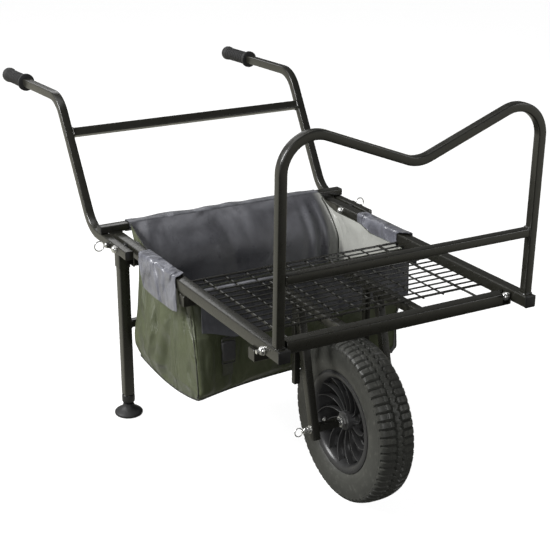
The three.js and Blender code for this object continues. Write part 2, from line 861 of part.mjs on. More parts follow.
function rearTube() {
  const half = railInner - cheekGap - cheekThick - restGap;
  const centre = [rearTubeFrontY + tubeSide / 2, rearTubeTopZ - tubeSide / 2];
  return straightTube("x", tubeSide, tubeCorner, -half, half, centre);
}

const collarRadius = 15.5;
const collarHeight = 20;
const collarDepth = 7;
const collarTop = ballZ - collarDepth + collarHeight;

// A leg tube, the tie bar, the collar that plugs its foot end and the swivel foot.
function legTube() {
  const top = railBottom - 2 * restGap;
  return straightTube("z", tubeSide, tubeCorner, collarTop + restGap, top, [railX, legY]);
}

function legTie() {
  const centre = [legY, tieBottomZ + tieSide / 2];
  return straightTube("x", tieSide, barCorner, -railInner, railInner, centre);
}

const ballRadius = 9;
const neckRadius = 5.5;
const lipGap = 1.2;
const lipHeight = 2;
const collarRoof = 3;

function legCollar() {
  const bottom = collarTop - collarHeight;
  const bore = ballRadius + 2 * restGap;
  const roof = collarTop - collarRoof;
  const lip = neckRadius + 2 * lipGap + restGap;
  const profile = [
    [0, collarTop],
    [collarRadius, collarTop],
    [collarRadius, bottom + lipHeight],
    [collarRadius - lipHeight, bottom],
    [lip, bottom],
    [lip, bottom + lipHeight],
    [bore, bottom + 2 * lipHeight],
    [bore, roof],
    [0, roof],
  ];
  const ring = turnedPiece(profile, "z", [railX, legY, 0], 20);
  const plug = tubeSide / 2 - tubeWall - restGap;
  return ring.add(box([railX - plug, railX + plug], [legY - plug, legY + plug], [collarTop - lipHeight, collarTop + plugDepth]));
}

const footShares = [[0.88, 0], [1, 0.09], [1, 0.2], [0.84, 0.36], [0.5, 0.52], [0.26, 0.62]];
const footHeight = 34;

function foot() {
  const base = footShares.map(([r, h]) => [r * footRadius, h * footHeight - ballRise]);
  const ball = [];
  const neckAngle = Math.acos(neckRadius / ballRadius);
  for (let k = 0; k <= 4; k++) {
    const angle = -neckAngle + ((Math.PI / 2 + neckAngle) * k) / 4;
    ball.push([ballRadius * Math.cos(angle), ballRadius * Math.sin(angle)]);
  }
  ball[ball.length - 1][0] = 0;
  const profile = [[0, -ballRise], ...base, [neckRadius, base[base.length - 1][1]], ...ball];
  return turnedPiece(profile, "z", [railX, 0, 0], 24);
}

// The handles: level under the rear bar, raked up, then level again into the grips.
function handleStations(endShort) {
  const end = v3(gripEndX, gripEndY, gripEndZ);
  const high = v3(highBendX, highBendY, highBendZ);
  const back = high.clone().sub(end).normalize();
  const corners = [
    v3(handleX, handleFrontY, handleZ),
    v3(handleX, lowBendY, handleZ),
    high,
    end.clone().addScaledVector(back, endShort),
  ];
  return bentStations(corners, [lowBendRadius, highBendRadius]);
}

const gripEndThick = 6;
const gripTipGap = 1;
const lockBehindBolt = 36;
const lockRadius = 4;
const lockKnobRadius = 6;
const lockHousingRadius = 7.5;
const lockHousingLength = 7;
const lockY = handleBoltY + lockBehindBolt;

// The handle tube, with the bore of its pivot bolt and the housing of its lock pin.
function handleTube() {
  const stations = handleStations(gripEndThick + gripTipGap);
  const tube = sweep(tubeShape(barSide, barCorner), stations);
  const from = handleX - barSide / 2 - cutOverrun;
  const outer = handleX + barSide / 2;
  const housingTo = outer + lockHousingLength;
  const housing = rod("x", lockHousingRadius, outer - tubeWall / 2, housingTo, [0, lockY, handleZ], fastenerSides);
  const bolt = boreX(boltBore, from, outer + cutOverrun, handleBoltY, handleZ);
  const lock = boreX(lockRadius + restGap, from, housingTo + cutOverrun, lockY, handleZ);
  return cut(tube.add(housing), [bolt, lock]);
}

// The spring pin that locks a handle: it goes in from the outer side, and has a pull ring.
const lockKnobLength = 3;
const lockRingRadius = 11.5;
const lockRingWire = 1.4;

function lockPin() {
  const outer = handleX + barSide / 2;
  const knobFrom = outer + lockHousingLength + restGap;
  const knobTo = knobFrom + lockKnobLength;
  const profile = [
    [0, handleX - barSide / 2 + restGap],
    [lockRadius, handleX - barSide / 2 + restGap],
    [lockRadius, knobFrom],
    [lockKnobRadius, knobFrom],
    [lockKnobRadius, knobTo],
    [lockRadius / 2, knobTo + lockRadius],
    [0, knobTo + lockRadius],
  ];
  const pin = turnedPiece(profile, "x", [0, lockY, handleZ], fastenerSides);
  const ring = new THREE.TorusGeometry(lockRingRadius, lockRingWire, 5, 16);
  ring.translate(knobTo + lockRadius + lockRingRadius - lockRingWire, lockY, handleZ);
  return pin.add(solidOf(ring));
}

function handleCross() {
  const y = lowBendY + handleCrossShare * (highBendY - lowBendY);
  const z = handleZ + handleCrossShare * (highBendZ - handleZ);
  const half = handleX + handleCrossShare * (highBendX - handleX) - barSide / 2 - restGap;
  const lean = Math.atan2(highBendY - lowBendY, highBendZ - handleZ);
  const options = { depth: 2 * half, bevelEnabled: false, curveSegments: cornerSteps };
  const geometry = turnedTo(new THREE.ExtrudeGeometry(tubeShape(barSide, barCorner), options), "x");
  geometry.translate(-half, 0, 0);
  geometry.rotateX(-lean);
  geometry.translate(0, y, z);
  return solidOf(geometry);
}

// The rubber grip over the square tube end: a flange, a ribbed sleeve and a fuller end.
const gripRadius = 15.6;
const gripRib = 1.2;
const gripRibCount = 6;
const gripFlangeRadius = 20;
const gripFlangeThick = 8;
const gripBulge = 18;
const gripBulgeLength = 22;
const gripNeck = 6;

function gripProfile(length) {
  const profile = [
    [0, 0],
    [gripFlangeRadius - gripRib, 0],
    [gripFlangeRadius, gripRib],
    [gripFlangeRadius, gripFlangeThick],
    [gripRadius, gripFlangeThick + gripNeck],
  ];
  const ribFrom = gripFlangeThick + gripNeck;
  const ribSpan = (length - gripBulgeLength - ribFrom) / gripRibCount;
  for (let i = 0; i < gripRibCount; i++) {
    const at = ribFrom + i * ribSpan;
    profile.push([gripRadius, at + ribSpan * 0.35]);
    profile.push([gripRadius + gripRib, at + ribSpan * 0.5]);
    profile.push([gripRadius + gripRib, at + ribSpan * 0.85]);
  }
  profile.push([gripRadius, length - gripBulgeLength]);
  profile.push([gripBulge, length - gripBulgeLength * 0.7]);
  profile.push([gripBulge, length - gripBulgeLength * 0.25]);
  profile.push([gripBulge * 0.75, length]);
  profile.push([0, length]);
  return profile;
}

function grip() {
  const stations = handleStations(gripEndThick);
  const high = v3(highBendX, highBendY, highBendZ);
  const end = v3(gripEndX, gripEndY, gripEndZ);
  const along = end.clone().sub(high).normalize();
  const length = (gripEndY - gripFlangeY) / along.y;
  const start = end.clone().addScaledVector(along, -length);
  const points = gripProfile(length).map(([r, a]) => new THREE.Vector2(r, a));
  const geometry = new THREE.LatheGeometry(points, 12);
  geometry.applyQuaternion(new THREE.Quaternion().setFromUnitVectors(v3(0, 1, 0), along));
  geometry.translate(start.x, start.y, start.z);
  const boreShape = roundedSquare(new THREE.Shape(), barSide + 2 * restGap, barCorner);
  return solidOf(geometry).subtract(sweep(boreShape, stations));
}

// A round spacer between rail and handle.
const spacerRadius = 11;

function handleSpacer() {
  const to = handleX - barSide / 2 - restGap;
  const disc = rod("x", spacerRadius, railOuter, to, [0, handleBoltY, handleZ], fastenerSides);
  return disc.subtract(boreX(boltBore, railOuter - cutOverrun, to + cutOverrun, handleBoltY, handleZ));
}

// The bag: one tub of cloth, open at the top, with collars that wrap the rails, the rear bar and the mid tube.
const frontSlopeDrop = 1;
const frontSlopeHeight = 124;
const rearSlopeDrop = 42;
const sideCollarAhead = 4.5;
const sideCollarGap = 20;
const sideHemDrop = 70;
const innerHemDrop = 12;
const rearCollarInset = 42;
const rearHemDrop = 10;
const frontHemDrop = 110;
const frontInnerDrop = 12;
const frontSlopeTopZ = midTubeTopZ - tubeSide - frontSlopeDrop;
const frontSlopeTopY = midTubeFrontY + tubeSide + clothThick + 2 * collarGap;
const frontSlopeFootZ = frontSlopeTopZ - frontSlopeHeight;
const rearSlopeFootZ = railTop - rearSlopeDrop;
const sideCollarFrontY = deckRearY - sideCollarAhead;
const sideCollarRearY = handleFrontY - sideCollarGap;
const sideHemZ = railTop - sideHemDrop;
const rearCollarHalf = railOuter - rearCollarInset;
const rearHemZ = railTop - rearHemDrop;
const frontCollarHemZ = midTubeTopZ - frontHemDrop;

function bagBody() {
  const top = railBottom - restGap;
  const rearTopY = rearBarFrontY - clothThick - 2 * collarGap;
  const outline = [
    [bagFrontY, bagBottomZ],
    [bagRearY, bagBottomZ],
    [bagRearY, rearSlopeFootZ],
    [rearTopY, railTop],
    [rearTopY - 2 * bagWall, railTop],
    [bagRearY, top],
    [frontSlopeTopY, top],
    [frontSlopeTopY, frontSlopeTopZ],
    [bagFrontY, frontSlopeFootZ],
  ];
  const hollow = [
    [bagFrontY + bagWall, bagBottomZ + bagWall],
    [bagRearY - bagWall, bagBottomZ + bagWall],
    [bagRearY - bagWall, rearSlopeFootZ + bagWall],
    [rearTopY - bagWall, railTop + bagWall],
    [rearTopY - bagWall, railTop + cutOverrun],
    [frontSlopeTopY + bagWall, railTop + cutOverrun],
    [frontSlopeTopY + bagWall, frontSlopeTopZ - bagWall / 2],
    [bagFrontY + bagWall, frontSlopeFootZ - bagWall / 2],
  ];
  const inside = bagHalf - bagWall;
  return plateX(outline, -bagHalf, bagHalf).subtract(plateX(hollow, -inside, inside));
}

function sideCollar() {
  const top = [railTop + restGap, railTop + restGap + clothThick];
  const outer = [railOuter + restGap, railOuter + restGap + clothThick];
  const inner = [bagHalf + restGap, bagHalf + restGap + clothThick];
  const innerFrom = deckRearY + borderWidth / 2 + 2 * collarGap;
  return joined([
    box([inner[0], outer[1]], [innerFrom, sideCollarRearY], top),
    box([railInner, outer[1]], [sideCollarFrontY, sideCollarRearY], top),
    box(outer, [sideCollarFrontY, sideCollarRearY], [sideHemZ, top[1]]),
    box(inner, [innerFrom, sideCollarRearY], [railBottom - innerHemDrop, top[1]]),
  ]);
}

function rearCollar() {
  const topZ = railTop + restGap + rearBarHeight + collarGap;
  const frontY = [rearBarFrontY - collarGap - clothThick, rearBarFrontY - collarGap];
  const backY = [rearBarFrontY + tubeSide + collarGap, rearBarFrontY + tubeSide + collarGap + clothThick];
  const xs = [-rearCollarHalf, rearCollarHalf];
  return joined([
    box(xs, [frontY[0], backY[1]], [topZ, topZ + clothThick]),
    box(xs, frontY, [railTop + collarGap, topZ + clothThick]),
    box(xs, backY, [rearHemZ, topZ + clothThick]),
  ]);
}

function frontCollar() {
  const half = railInner - clothThick - 3 * restGap;
  const topZ = midTubeTopZ + collarGap;
  const frontY = midTubeFrontY - collarGap;
  const backY = midTubeFrontY + tubeSide + collarGap;
  return joined([
    box([-half, half], [frontY - clothThick, backY + clothThick], [topZ, topZ + clothThick]),
    box([-half, half], [backY, backY + clothThick], [midTubeTopZ - frontInnerDrop, topZ + clothThick]),
    box([-half, half], [frontY - clothThick, frontY], [frontCollarHemZ, topZ + clothThick]),
  ]);
}

// A webbing strap with a side-release buckle on the front of the bag.
const strapInset = 100;
const strapWidth = 25;
const strapLength = 90;
const strapTopGap = 2;
const buckleWidth = 34;
const buckleLength = 44;
const buckleDrop = 8;
const buckleThick = 9;
const strapX = strapInset - railOuter;
const strapTopZ = frontCollarHemZ - strapTopGap;
const strapBottomZ = strapTopZ - strapLength;
const buckleTopZ = strapTopZ - buckleDrop;
const buckleBottomZ = buckleTopZ - buckleLength;

function bagStrap() {
  const back = bagFrontY - collarGap;
  const front = back - clothThick;
  const strap = box([strapX - strapWidth / 2, strapX + strapWidth / 2], [front, back], [strapBottomZ, strapTopZ]);
  const buckleY = [front - buckleThick, front + clothThick / 2];
  const buckle = box([strapX - buckleWidth / 2, strapX + buckleWidth / 2], buckleY, [buckleBottomZ, buckleTopZ]);
  return strap.add(buckle);
}

// Assembly
const trolley = new THREE.Group();
const standing = new THREE.Group();
trolley.add(standing);

const frame = new THREE.Group();
standing.add(frame);
addPair(frame, "side_rail", sideRail(), blackPaint);
addPair(frame, "rail_cap", endCap(tubeSide, railX, 0, railTop - tubeSide / 2), blackPlastic);
addMesh(frame, "front_rest_bar", sweep(tubeShape(restSide, barCorner), restStations()), blackPaint);
addMesh(frame, "front_rest_cross", restCross(), blackPaint);
addMesh(frame, "wire_deck", wireDeck(), blackPaint);
addMesh(frame, "mid_cross_tube", midTube(), blackPaint);
addMesh(frame, "rear_bar", rearBar(), blackPaint);
addPair(frame, "rear_bar_cap", rearBarCap(), blackPlastic);
addMesh(frame, "rear_lower_tube", rearTube(), blackPaint);
addPair(frame, "leg_sleeve", legSleeve(), blackPaint);
addPair(frame, "leg_clamp", legClamp(), zinc);
addPair(frame, "handle_spacer", handleSpacer(), blackPlastic);
const forkNutFace = railInner - 2 * restGap - lugThick - restGap;
addPair(frame, "fork_bolt", domedBolt(forkNutFace, railOuter, pivotY, pivotZ), zinc);
const handleHeadFace = handleX + barSide / 2 + restGap;
addPair(frame, "handle_bolt", domedBolt(railInner, handleHeadFace, handleBoltY, handleZ), zinc);

const bag = new THREE.Group();
frame.add(bag);
addMesh(bag, "bag_body", bagBody(), oliveCloth);
addPair(bag, "side_collar", sideCollar(), greyCloth);
addMesh(bag, "rear_collar", rearCollar(), greyCloth);
addMesh(bag, "front_collar", frontCollar(), greyCloth);
addMesh(bag, "bag_strap", bagStrap(), blackPlastic);

const fork = new THREE.Group();
standing.add(fork);
addMesh(fork, "fork_crossbar", forkCrossbar(), blackPaint);
addMesh(fork, "fork_cross_tube", forkTube(), blackPaint);
addPair(fork, "fork_bearer", bearer(), blackPaint);
addPair(fork, "fork_arm", forkArm(), blackPaint);
addPair(fork, "fork_strut", strut(), blackPaint);
addMesh(fork, "axle", axle(), zinc);
addMesh(fork, "axle_pin", axlePin(), zinc);
addPair(fork, "hub_spacer", hubSpacer(), blackPaint);

const wheel = new THREE.Group();
wheel.position.set(0, wheelY, axleZ);
wheel.rotation.x = standAngle;
fork.add(wheel);
addMesh(wheel, "tyre", tyre(), rubber);
addMesh(wheel, "rim", rim(), blackPlastic);
addMesh(wheel, "hub_bush", hubBush(), zinc);
addMesh(wheel, "valve_stem", valveStem(), rubber);

const handles = new THREE.Group();
standing.add(handles);
addPair(handles, "handle_tube", handleTube(), blackPaint);
addMesh(handles, "handle_cross", handleCross(), blackPaint);
addPair(handles, "grip", grip(), rubber);
addPair(handles, "lock_pin", lockPin(), zinc);

const legs = new THREE.Group();
standing.add(legs);
addPair(legs, "leg", legTube(), blackPaint);
addMesh(legs, "leg_tie", legTie(), blackPaint);
addPair(legs, "leg_collar", legCollar(), blackPlastic);
const feet = new THREE.Group();
feet.position.set(0, legY, ballZ);
feet.rotation.x = standAngle;
legs.add(feet);
addPair(feet, "foot", foot(), rubber);

// The trolley stands on its wheel and its feet, a little nose-up. The origin is on the ground under its middle.
standing.rotation.x = -standAngle;
standing.updateMatrixWorld(true);
const extent = new THREE.Box3().setFromObject(standing, true);
standing.position.y = -(extent.min.y + extent.max.y) / 2;
standing.position.z = -extent.min.z;

export default trolley;
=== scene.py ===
"""A one-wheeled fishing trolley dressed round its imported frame: painted square tubes, a wire deck, a barrow wheel,
folding handles and a hanging cloth bag. Sizes are millimetres in the trolley's own level frame: X to the right, Y
towards the handles, Z up. What comes in pairs is drawn on the right and mirrored."""

import math

import bmesh
import bpy
import numpy as np
from mathutils import Matrix, Vector


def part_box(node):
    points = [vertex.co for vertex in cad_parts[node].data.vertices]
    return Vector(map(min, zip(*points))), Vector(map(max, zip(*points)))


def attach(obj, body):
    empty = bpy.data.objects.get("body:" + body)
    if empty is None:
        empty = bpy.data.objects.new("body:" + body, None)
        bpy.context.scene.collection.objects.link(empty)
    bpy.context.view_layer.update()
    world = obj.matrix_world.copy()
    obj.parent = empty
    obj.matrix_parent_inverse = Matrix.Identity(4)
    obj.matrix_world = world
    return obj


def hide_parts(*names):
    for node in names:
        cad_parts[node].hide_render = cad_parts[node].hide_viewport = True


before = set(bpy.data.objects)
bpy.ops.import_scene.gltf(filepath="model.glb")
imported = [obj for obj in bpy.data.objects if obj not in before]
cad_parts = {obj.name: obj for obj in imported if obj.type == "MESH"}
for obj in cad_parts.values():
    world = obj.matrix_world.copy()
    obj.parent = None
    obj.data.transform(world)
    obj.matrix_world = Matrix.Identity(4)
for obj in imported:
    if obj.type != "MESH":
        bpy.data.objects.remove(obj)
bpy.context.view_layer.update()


# ---------------------------------------------------------------- small sums
def v(*xyz):
    return np.array(xyz, float)


def unit(a):
    return a / np.linalg.norm(a)


def angles(steps):
    return np.linspace(0, 2 * math.pi, steps, endpoint=False)


def ramp(x, a, b):
    """A smooth step from 0 at a to 1 at b."""
    t = min(max((x - a) / (b - a), 0.0), 1.0)
    return t * t * (3 - 2 * t)


def bell(x, width):
    return math.exp(-((x / width) ** 2))


def ripple(seed, x, y, scale):
    """Smooth wandering values between about -1 and 1."""
    total = 0.0
    for k in range(1, 5):
        a = seed * 12.9 + k * 2.399
        total += math.sin((x * math.cos(a) + y * math.sin(a)) * scale * (0.55 + 0.35 * k) + a * 7.1) / k
    return total / 2.08


# ---------------------------------------------------------------- the trolley's level frame in the part's frame
X, Y, Z = np.eye(3)
SIDES = (-1, 1)
STAND = math.radians(1.9)
TYRE_R = 180.3
AXLE = v(0, 206, TYRE_R)


def tipped(points, angle):
    """Points turned about X: by STAND from the level frame to the part's, by -STAND back."""
    p = np.asarray(points, float).reshape(-1, 3)
    c, s = math.cos(angle), math.sin(angle)
    return np.stack([p[:, 0], p[:, 1] * c + p[:, 2] * s, p[:, 2] * c - p[:, 1] * s], 1)


# The hub shows where the level frame stands in the part's
hub_low, hub_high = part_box("hub_bush")
SHIFT = (np.array(hub_low + hub_high) * 500 - tipped(AXLE, STAND)[0]) * (Y + Z)


def to_part(points):
    """Level-frame millimetres to part metres."""
    return (tipped(points, STAND) + SHIFT) / 1000


def to_level(points):
    """Part metres to level-frame millimetres."""
    return tipped(np.asarray(points, float) * 1000 - SHIFT, -STAND)


def wheel_points(points):
    """Wheel-centred millimetres to the level frame, so that the wheel stands upright in the part's frame."""
    return tipped(points, -STAND) + AXLE


# ---------------------------------------------------------------- materials
class Nodes:
    """Short names for building one node tree."""

    def __init__(self, tree):
        self.tree = tree
        self.coords = None

    def add(self, kind, inputs=None, **settings):
        """A new node. inputs maps its sockets to numbers, colours or other nodes' outputs."""
        node = self.tree.nodes.new(kind)
        for key, value in settings.items():
            setattr(node, key, value)
        for key, value in (inputs or {}).items():
            self.feed(node.inputs[key], value)
        return node

    def feed(self, socket, value):
        if isinstance(value, bpy.types.NodeSocket):
            self.tree.links.new(value, socket)
        else:
            socket.default_value = (*value, 1) if socket.type == "RGBA" else value

    def place(self, scale=(1, 1, 1)):
        if self.coords is None:
            self.coords = self.add("ShaderNodeTexCoord").outputs["Object"]
        return self.add("ShaderNodeMapping", {"Vector": self.coords, "Scale": scale}).outputs["Vector"]

    def split(self):
        """The X, Y and Z of a point."""
        return self.add("ShaderNodeSeparateXYZ", {0: self.place()}).outputs

    def noise(self, scale, detail=3.0, rough=0.55, stretch=(1, 1, 1), warp=0.0):
        inputs = {"Vector": self.place(stretch), "Scale": scale, "Detail": detail, "Roughness": rough}
        return self.add("ShaderNodeTexNoise", {**inputs, "Distortion": warp}).outputs["Fac"]

    def wave(self, scale, direction, stretch):
        inputs = {"Vector": self.place(stretch), "Scale": scale}
        return self.add("ShaderNodeTexWave", inputs, wave_type="BANDS", bands_direction=direction).outputs["Fac"]

    def span(self, value, low, high, to_low=0.0, to_high=1.0):
        """The range from low to high stretched to another, and cut off outside it."""
        inputs = {"Value": value, "From Min": low, "From Max": high, "To Min": to_low, "To Max": to_high}
        return self.add("ShaderNodeMapRange", inputs).outputs["Result"]

    def mix(self, fac, a, b):
        return self.add("ShaderNodeMix", {"Factor": fac, 6: a, 7: b}, data_type="RGBA").outputs[2]

    def math(self, operation, a, b):
        return self.add("ShaderNodeMath", {0: a, 1: b}, operation=operation).outputs[0]

    def bump(self, height, strength, distance, normal=None):
        inputs = {"Height": height, "Strength": strength, "Distance": distance}
        if normal is not None:
            inputs["Normal"] = normal
        return self.add("ShaderNodeBump", inputs).outputs["Normal"]

    def shade(self, fac, a, b):
        """Shader a where fac is 0, b where it is 1."""
        return self.add("ShaderNodeMixShader", {0: fac, 1: a, 2: b}).outputs[0]


def shader(name, **sockets):
    """A new material with its shader's plain sockets set, and the builder for its nodes."""
    material = bpy.data.materials.new(name)
    material.use_nodes = True
    principled = material.node_tree.nodes["Principled BSDF"]
    for key, value in sockets.items():
        principled.inputs[key.replace("_", " ")].default_value = value
    return material, Nodes(material.node_tree), principled


def finished(material, nodes, principled, colour, rough, normal):
    for socket, value in (("Base Color", colour), ("Roughness", rough), ("Normal", normal)):
        nodes.feed(principled.inputs[socket], value)
    return material


def black_paint():
    """Gloss powder coat: a fine orange peel, faint dust and small rubbed spots."""
    m, n, p = shader("black_paint", Specular_IOR_Level=0.6, Coat_Weight=0.25, Coat_Roughness=0.12)
    tone = n.mix(n.noise(14, 4), (0.013, 0.0128, 0.0098), (0.021, 0.0206, 0.0158))
    scuff = n.span(n.noise(190, 5, 0.7, warp=0.6), 0.66, 0.74)
    rough = n.span(n.noise(60, 3), 0.3, 0.7, 0.24, 0.36)
    return finished(m, n, p, n.mix(scuff, tone, (0.028, 0.0275, 0.025)), rough, n.bump(n.noise(620, 2), 0.12, 0.0004))


def black_plastic(name="black_plastic", rough=(0.32, 0.46), dark=0.011, light=0.02):
    m, n, p = shader(name, Specular_IOR_Level=0.45)
    colour = n.mix(n.noise(30, 4), (dark, dark, dark * 1.02), (light, light, light))
    return finished(m, n, p, colour, n.span(n.noise(90, 3), 0.3, 0.7, *rough), n.bump(n.noise(1300, 2), 0.14, 0.0003))


def rubber(name, dark, light, rough, dust):
    m, n, p = shader(name, Specular_IOR_Level=0.4)
    tone = n.mix(n.noise(22, 5, 0.6), dark, light)
    colour = n.mix(n.span(n.noise(75, 6, 0.65), 0.55, 0.8), tone, dust)
    return finished(m, n, p, colour, n.span(n.noise(48, 4), 0.3, 0.7, *rough), n.bump(n.noise(950, 4, 0.65), 0.22, 0.0004))


def zinc():
    m, n, p = shader("zinc_plate", Metallic=0.85, Specular_IOR_Level=0.8)
    colour = n.mix(n.noise(160, 4), (0.66, 0.66, 0.64), (0.86, 0.86, 0.84))
    return finished(m, n, p, colour, n.span(n.noise(260, 4), 0.3, 0.7, 0.14, 0.3), n.bump(n.noise(1500, 2), 0.03, 0.0001))


def woven(name, dark, light, thread, rough, mottle, crumple, sheen=0.08, depth=0.3, gloss=0.5, painted_light_end=None):
    """Woven cloth: two crossing sets of threads in its relief and colour, over broad colour changes and creases.
    Its right-hand end may take a lighter colour of its own: painted light, where the lamp on the left falls on the
    bag's right wall inside."""
    m, n, p = shader(name, Specular_IOR_Level=gloss, Sheen_Weight=sheen, Sheen_Roughness=0.35)
    weave = n.math("MULTIPLY", n.wave(430, "DIAGONAL", (1, 1, 0.05)), n.wave(430, "Z", (0.05, 0.05, 1)))
    broad = n.mix(n.span(n.noise(mottle, 5, 0.6, warp=0.4), 0.3, 0.7), dark, light)
    # painted light: the right-hand end is mixed towards a lighter colour, standing for the light from the left on the
    # bag's right wall
    if painted_light_end:
        broad = n.mix(n.span(n.split()[0], 0.236, 0.262), broad, painted_light_end)
    colour = n.mix(n.math("MULTIPLY", weave, 0.45), broad, thread)
    folds = n.bump(n.noise(mottle, 2, 0.4, (1, 1, 0.6), 0.5), crumple, 0.03)
    creases = n.bump(n.noise(30, 3, 0.5, (1, 1, 0.7), 0.8), 0.14 * crumple, 0.006, folds)
    gloss_range = n.span(n.noise(26, 4, 0.6), 0.3, 0.7, *rough)
    return finished(m, n, p, colour, gloss_range, n.bump(weave, depth, 0.0004, creases))


PAINT = black_paint()
PLASTIC = black_plastic()
RIM_PLASTIC = black_plastic("rim_plastic", (0.26, 0.38), 0.03, 0.048)
HUB_PLASTIC = black_plastic("hub_plastic", (0.35, 0.5), 0.045, 0.07)
GRIP_RUBBER = rubber("grip_rubber", (0.012, 0.012, 0.0125), (0.022, 0.022, 0.022), (0.5, 0.68), (0.03, 0.03, 0.03))
TYRE_RUBBER = rubber("tyre_rubber", (0.046, 0.047, 0.042), (0.075, 0.076, 0.068), (0.3, 0.44), (0.13, 0.13, 0.115))
ZINC = zinc()
OLIVE = woven("olive_cloth", (0.048, 0.058, 0.026), (0.082, 0.094, 0.046), (0.125, 0.14, 0.078), (0.34, 0.5),
              12, 1.5, sheen=0.12, depth=0.5)
GREY = woven("grey_cloth", (0.07, 0.072, 0.086), (0.2, 0.205, 0.238), (0.25, 0.25, 0.28), (0.18, 0.3),
             17, 1.5, gloss=0.8)
# The lining's lighter right-hand end is painted light: the lamp on the left lights the bag's right wall inside
LINING = woven("grey_lining", (0.05, 0.051, 0.058), (0.165, 0.167, 0.182), (0.19, 0.19, 0.21), (0.24, 0.4),
               7, 1.3, painted_light_end=(0.42, 0.425, 0.39))
FLAP = woven("grey_flap", (0.06, 0.062, 0.07), (0.15, 0.153, 0.17), (0.19, 0.19, 0.21), (0.3, 0.45), 17, 0.6)
WEBBING = woven("webbing", (0.035, 0.038, 0.024), (0.065, 0.07, 0.046), (0.13, 0.135, 0.095), (0.5, 0.7),
                40, 0.2, sheen=0.2, depth=0.9)
PIPING = woven("piping", (0.014, 0.015, 0.011), (0.026, 0.028, 0.02), (0.05, 0.05, 0.04), (0.5, 0.7),
               60, 0.2, sheen=0.2, depth=0.6)


# ---------------------------------------------------------------- mesh building
class Shape:
    """Vertices and faces gathered in level-frame millimetres, then made into one object."""

    def __init__(self):
        self.points, self.faces, self.tags = [], [], []

    def add(self, points, faces, tag=0):
        base = sum(map(len, self.points))
        self.points.append(np.asarray(points, float).reshape(-1, 3))
        self.faces += [[i + base for i in f] for f in faces]
        self.tags += [tag] * len(faces)
        return self

    def rings(self, rings, caps=True, loop=False, tag=0):
        """Joins rings of points, each with the same count, into a skin. loop joins the last ring to the first."""
        n, m = len(rings), len(rings[0])
        faces = []
        for i in range(n if loop else n - 1):
            here, after = i * m, (i + 1) % n * m
            faces += [[here + k, here + (k + 1) % m, after + (k + 1) % m, after + k] for k in range(m)]
        if caps and not loop:
            faces += [list(range(m))[::-1], list(range((n - 1) * m, n * m))]
        return self.add(np.concatenate(rings), faces, tag)

    def mirror(self):
        """The same shape on the other side."""
        other = Shape()
        other.points = [p * (-1, 1, 1) for p in self.points]
        other.faces, other.tags = [f[::-1] for f in self.faces], self.tags
        return other

    def build(self, name, material, body, replaced=(), sharp=32, more=()):
        """One object that rides on a body. Tagged faces take the materials in more."""
        mesh = bpy.data.meshes.new(name)
        mesh.from_pydata(to_part(np.concatenate(self.points)).tolist(), [], self.faces)
        for each in (material, *more):
            mesh.materials.append(each)
        for face, tag in zip(mesh.polygons, self.tags):
            face.material_index = tag
        bm = bmesh.new()
        bm.from_mesh(mesh)
        bmesh.ops.remove_doubles(bm, verts=bm.verts, dist=1e-6)
        bmesh.ops.recalc_face_normals(bm, faces=bm.faces)
        for edge in bm.edges:
            edge.smooth = len(edge.link_faces) == 2 and edge.calc_face_angle(0) < math.radians(sharp)
        for face in bm.faces:
            face.smooth = True
        bm.to_mesh(mesh)
        bm.free()
        obj = bpy.data.objects.new(name, mesh)
        bpy.context.scene.collection.objects.link(obj)
        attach(obj, body)
        if replaced:
            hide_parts(*replaced)
        return obj

    def put(self, node, ending, material, body="frame", **more):
        """The piece node_ending, in place of the CAD part node."""
        return self.build(node + "_" + ending, material, body, [node], **more)

    def pair(self, node, ending, material, body="frame", **more):
        """A piece on the right and its mirror image on the left. {} in the body's name stands for the side."""
        for shape, side in ((self, "right"), (self.mirror(), "left")):
            shape.put(node + "_" + side, ending, material, body.format(side), **more)


def rounded_rect(w, h, corner, steps=4):
    """A rounded rectangle as points about its centre, counter-clockwise."""
    out = []
    for cx, cy, start in ((1, 1, 0), (-1, 1, 90), (-1, -1, 180), (1, -1, 270)):
        for k in range(steps + 1):
            a = math.radians(start + 90 * k / steps)
            out.append((cx * (w / 2 - corner) + corner * math.cos(a), cy * (h / 2 - corner) + corner * math.sin(a)))
    return np.array(out)


def circle(radius, steps):
    return radius * np.stack([np.cos(angles(steps)), np.sin(angles(steps))], 1)


def lay(section, at, a, b):
    """A flat section in space, with its two axes along a and b."""
    return at + section[:, :1] * a + section[:, 1:] * b


def across(d, side):
    """Two directions square to d, the first as near to side as it can be."""
    a = unit(side - d * (side @ d))
    return a, np.cross(d, a)


def upright(d):
    return Z if abs(d[2]) < 0.9 else X


def headings(pts, closed=False):
    """The direction of a line at each of its points."""
    n = len(pts)
    if closed:
        return [unit(pts[(i + 1) % n] - pts[i - 1]) for i in range(n)]
    return [unit(pts[min(i + 1, n - 1)] - pts[max(i - 1, 0)]) for i in range(n)]


def lengths(pts):
    """How far along a line each of its points is."""
    return np.concatenate([[0], np.cumsum(np.linalg.norm(np.diff(pts, axis=0), axis=1))])


def points_at(pts, at):
    """The points of a line at distances along it."""
    return np.stack([np.interp(at, lengths(pts), pts[:, k]) for k in range(3)], 1)


def bent(corners, radii, step=5):
    """Stations and directions of a bent bar: straight runs between corners rounded to their radii."""
    pts, dirs = [corners[0]], [unit(corners[1] - corners[0])]
    for before, corner, after, r in zip(corners, corners[1:], corners[2:], radii):
        into, away = unit(corner - before), unit(after - corner)
        turn = math.acos(np.clip(into @ away, -1, 1))
        inward = unit(away - into * (away @ into))
        centre = corner - into * r * math.tan(turn / 2) + inward * r
        for a in np.linspace(0, turn, max(3, int(math.degrees(turn) / step) + 1)):
            pts.append(centre - inward * r * math.cos(a) + into * r * math.sin(a))
            dirs.append(into * math.cos(a) + inward * math.sin(a))
    return pts + [corners[-1]], dirs + [unit(corners[-1] - corners[-2])]


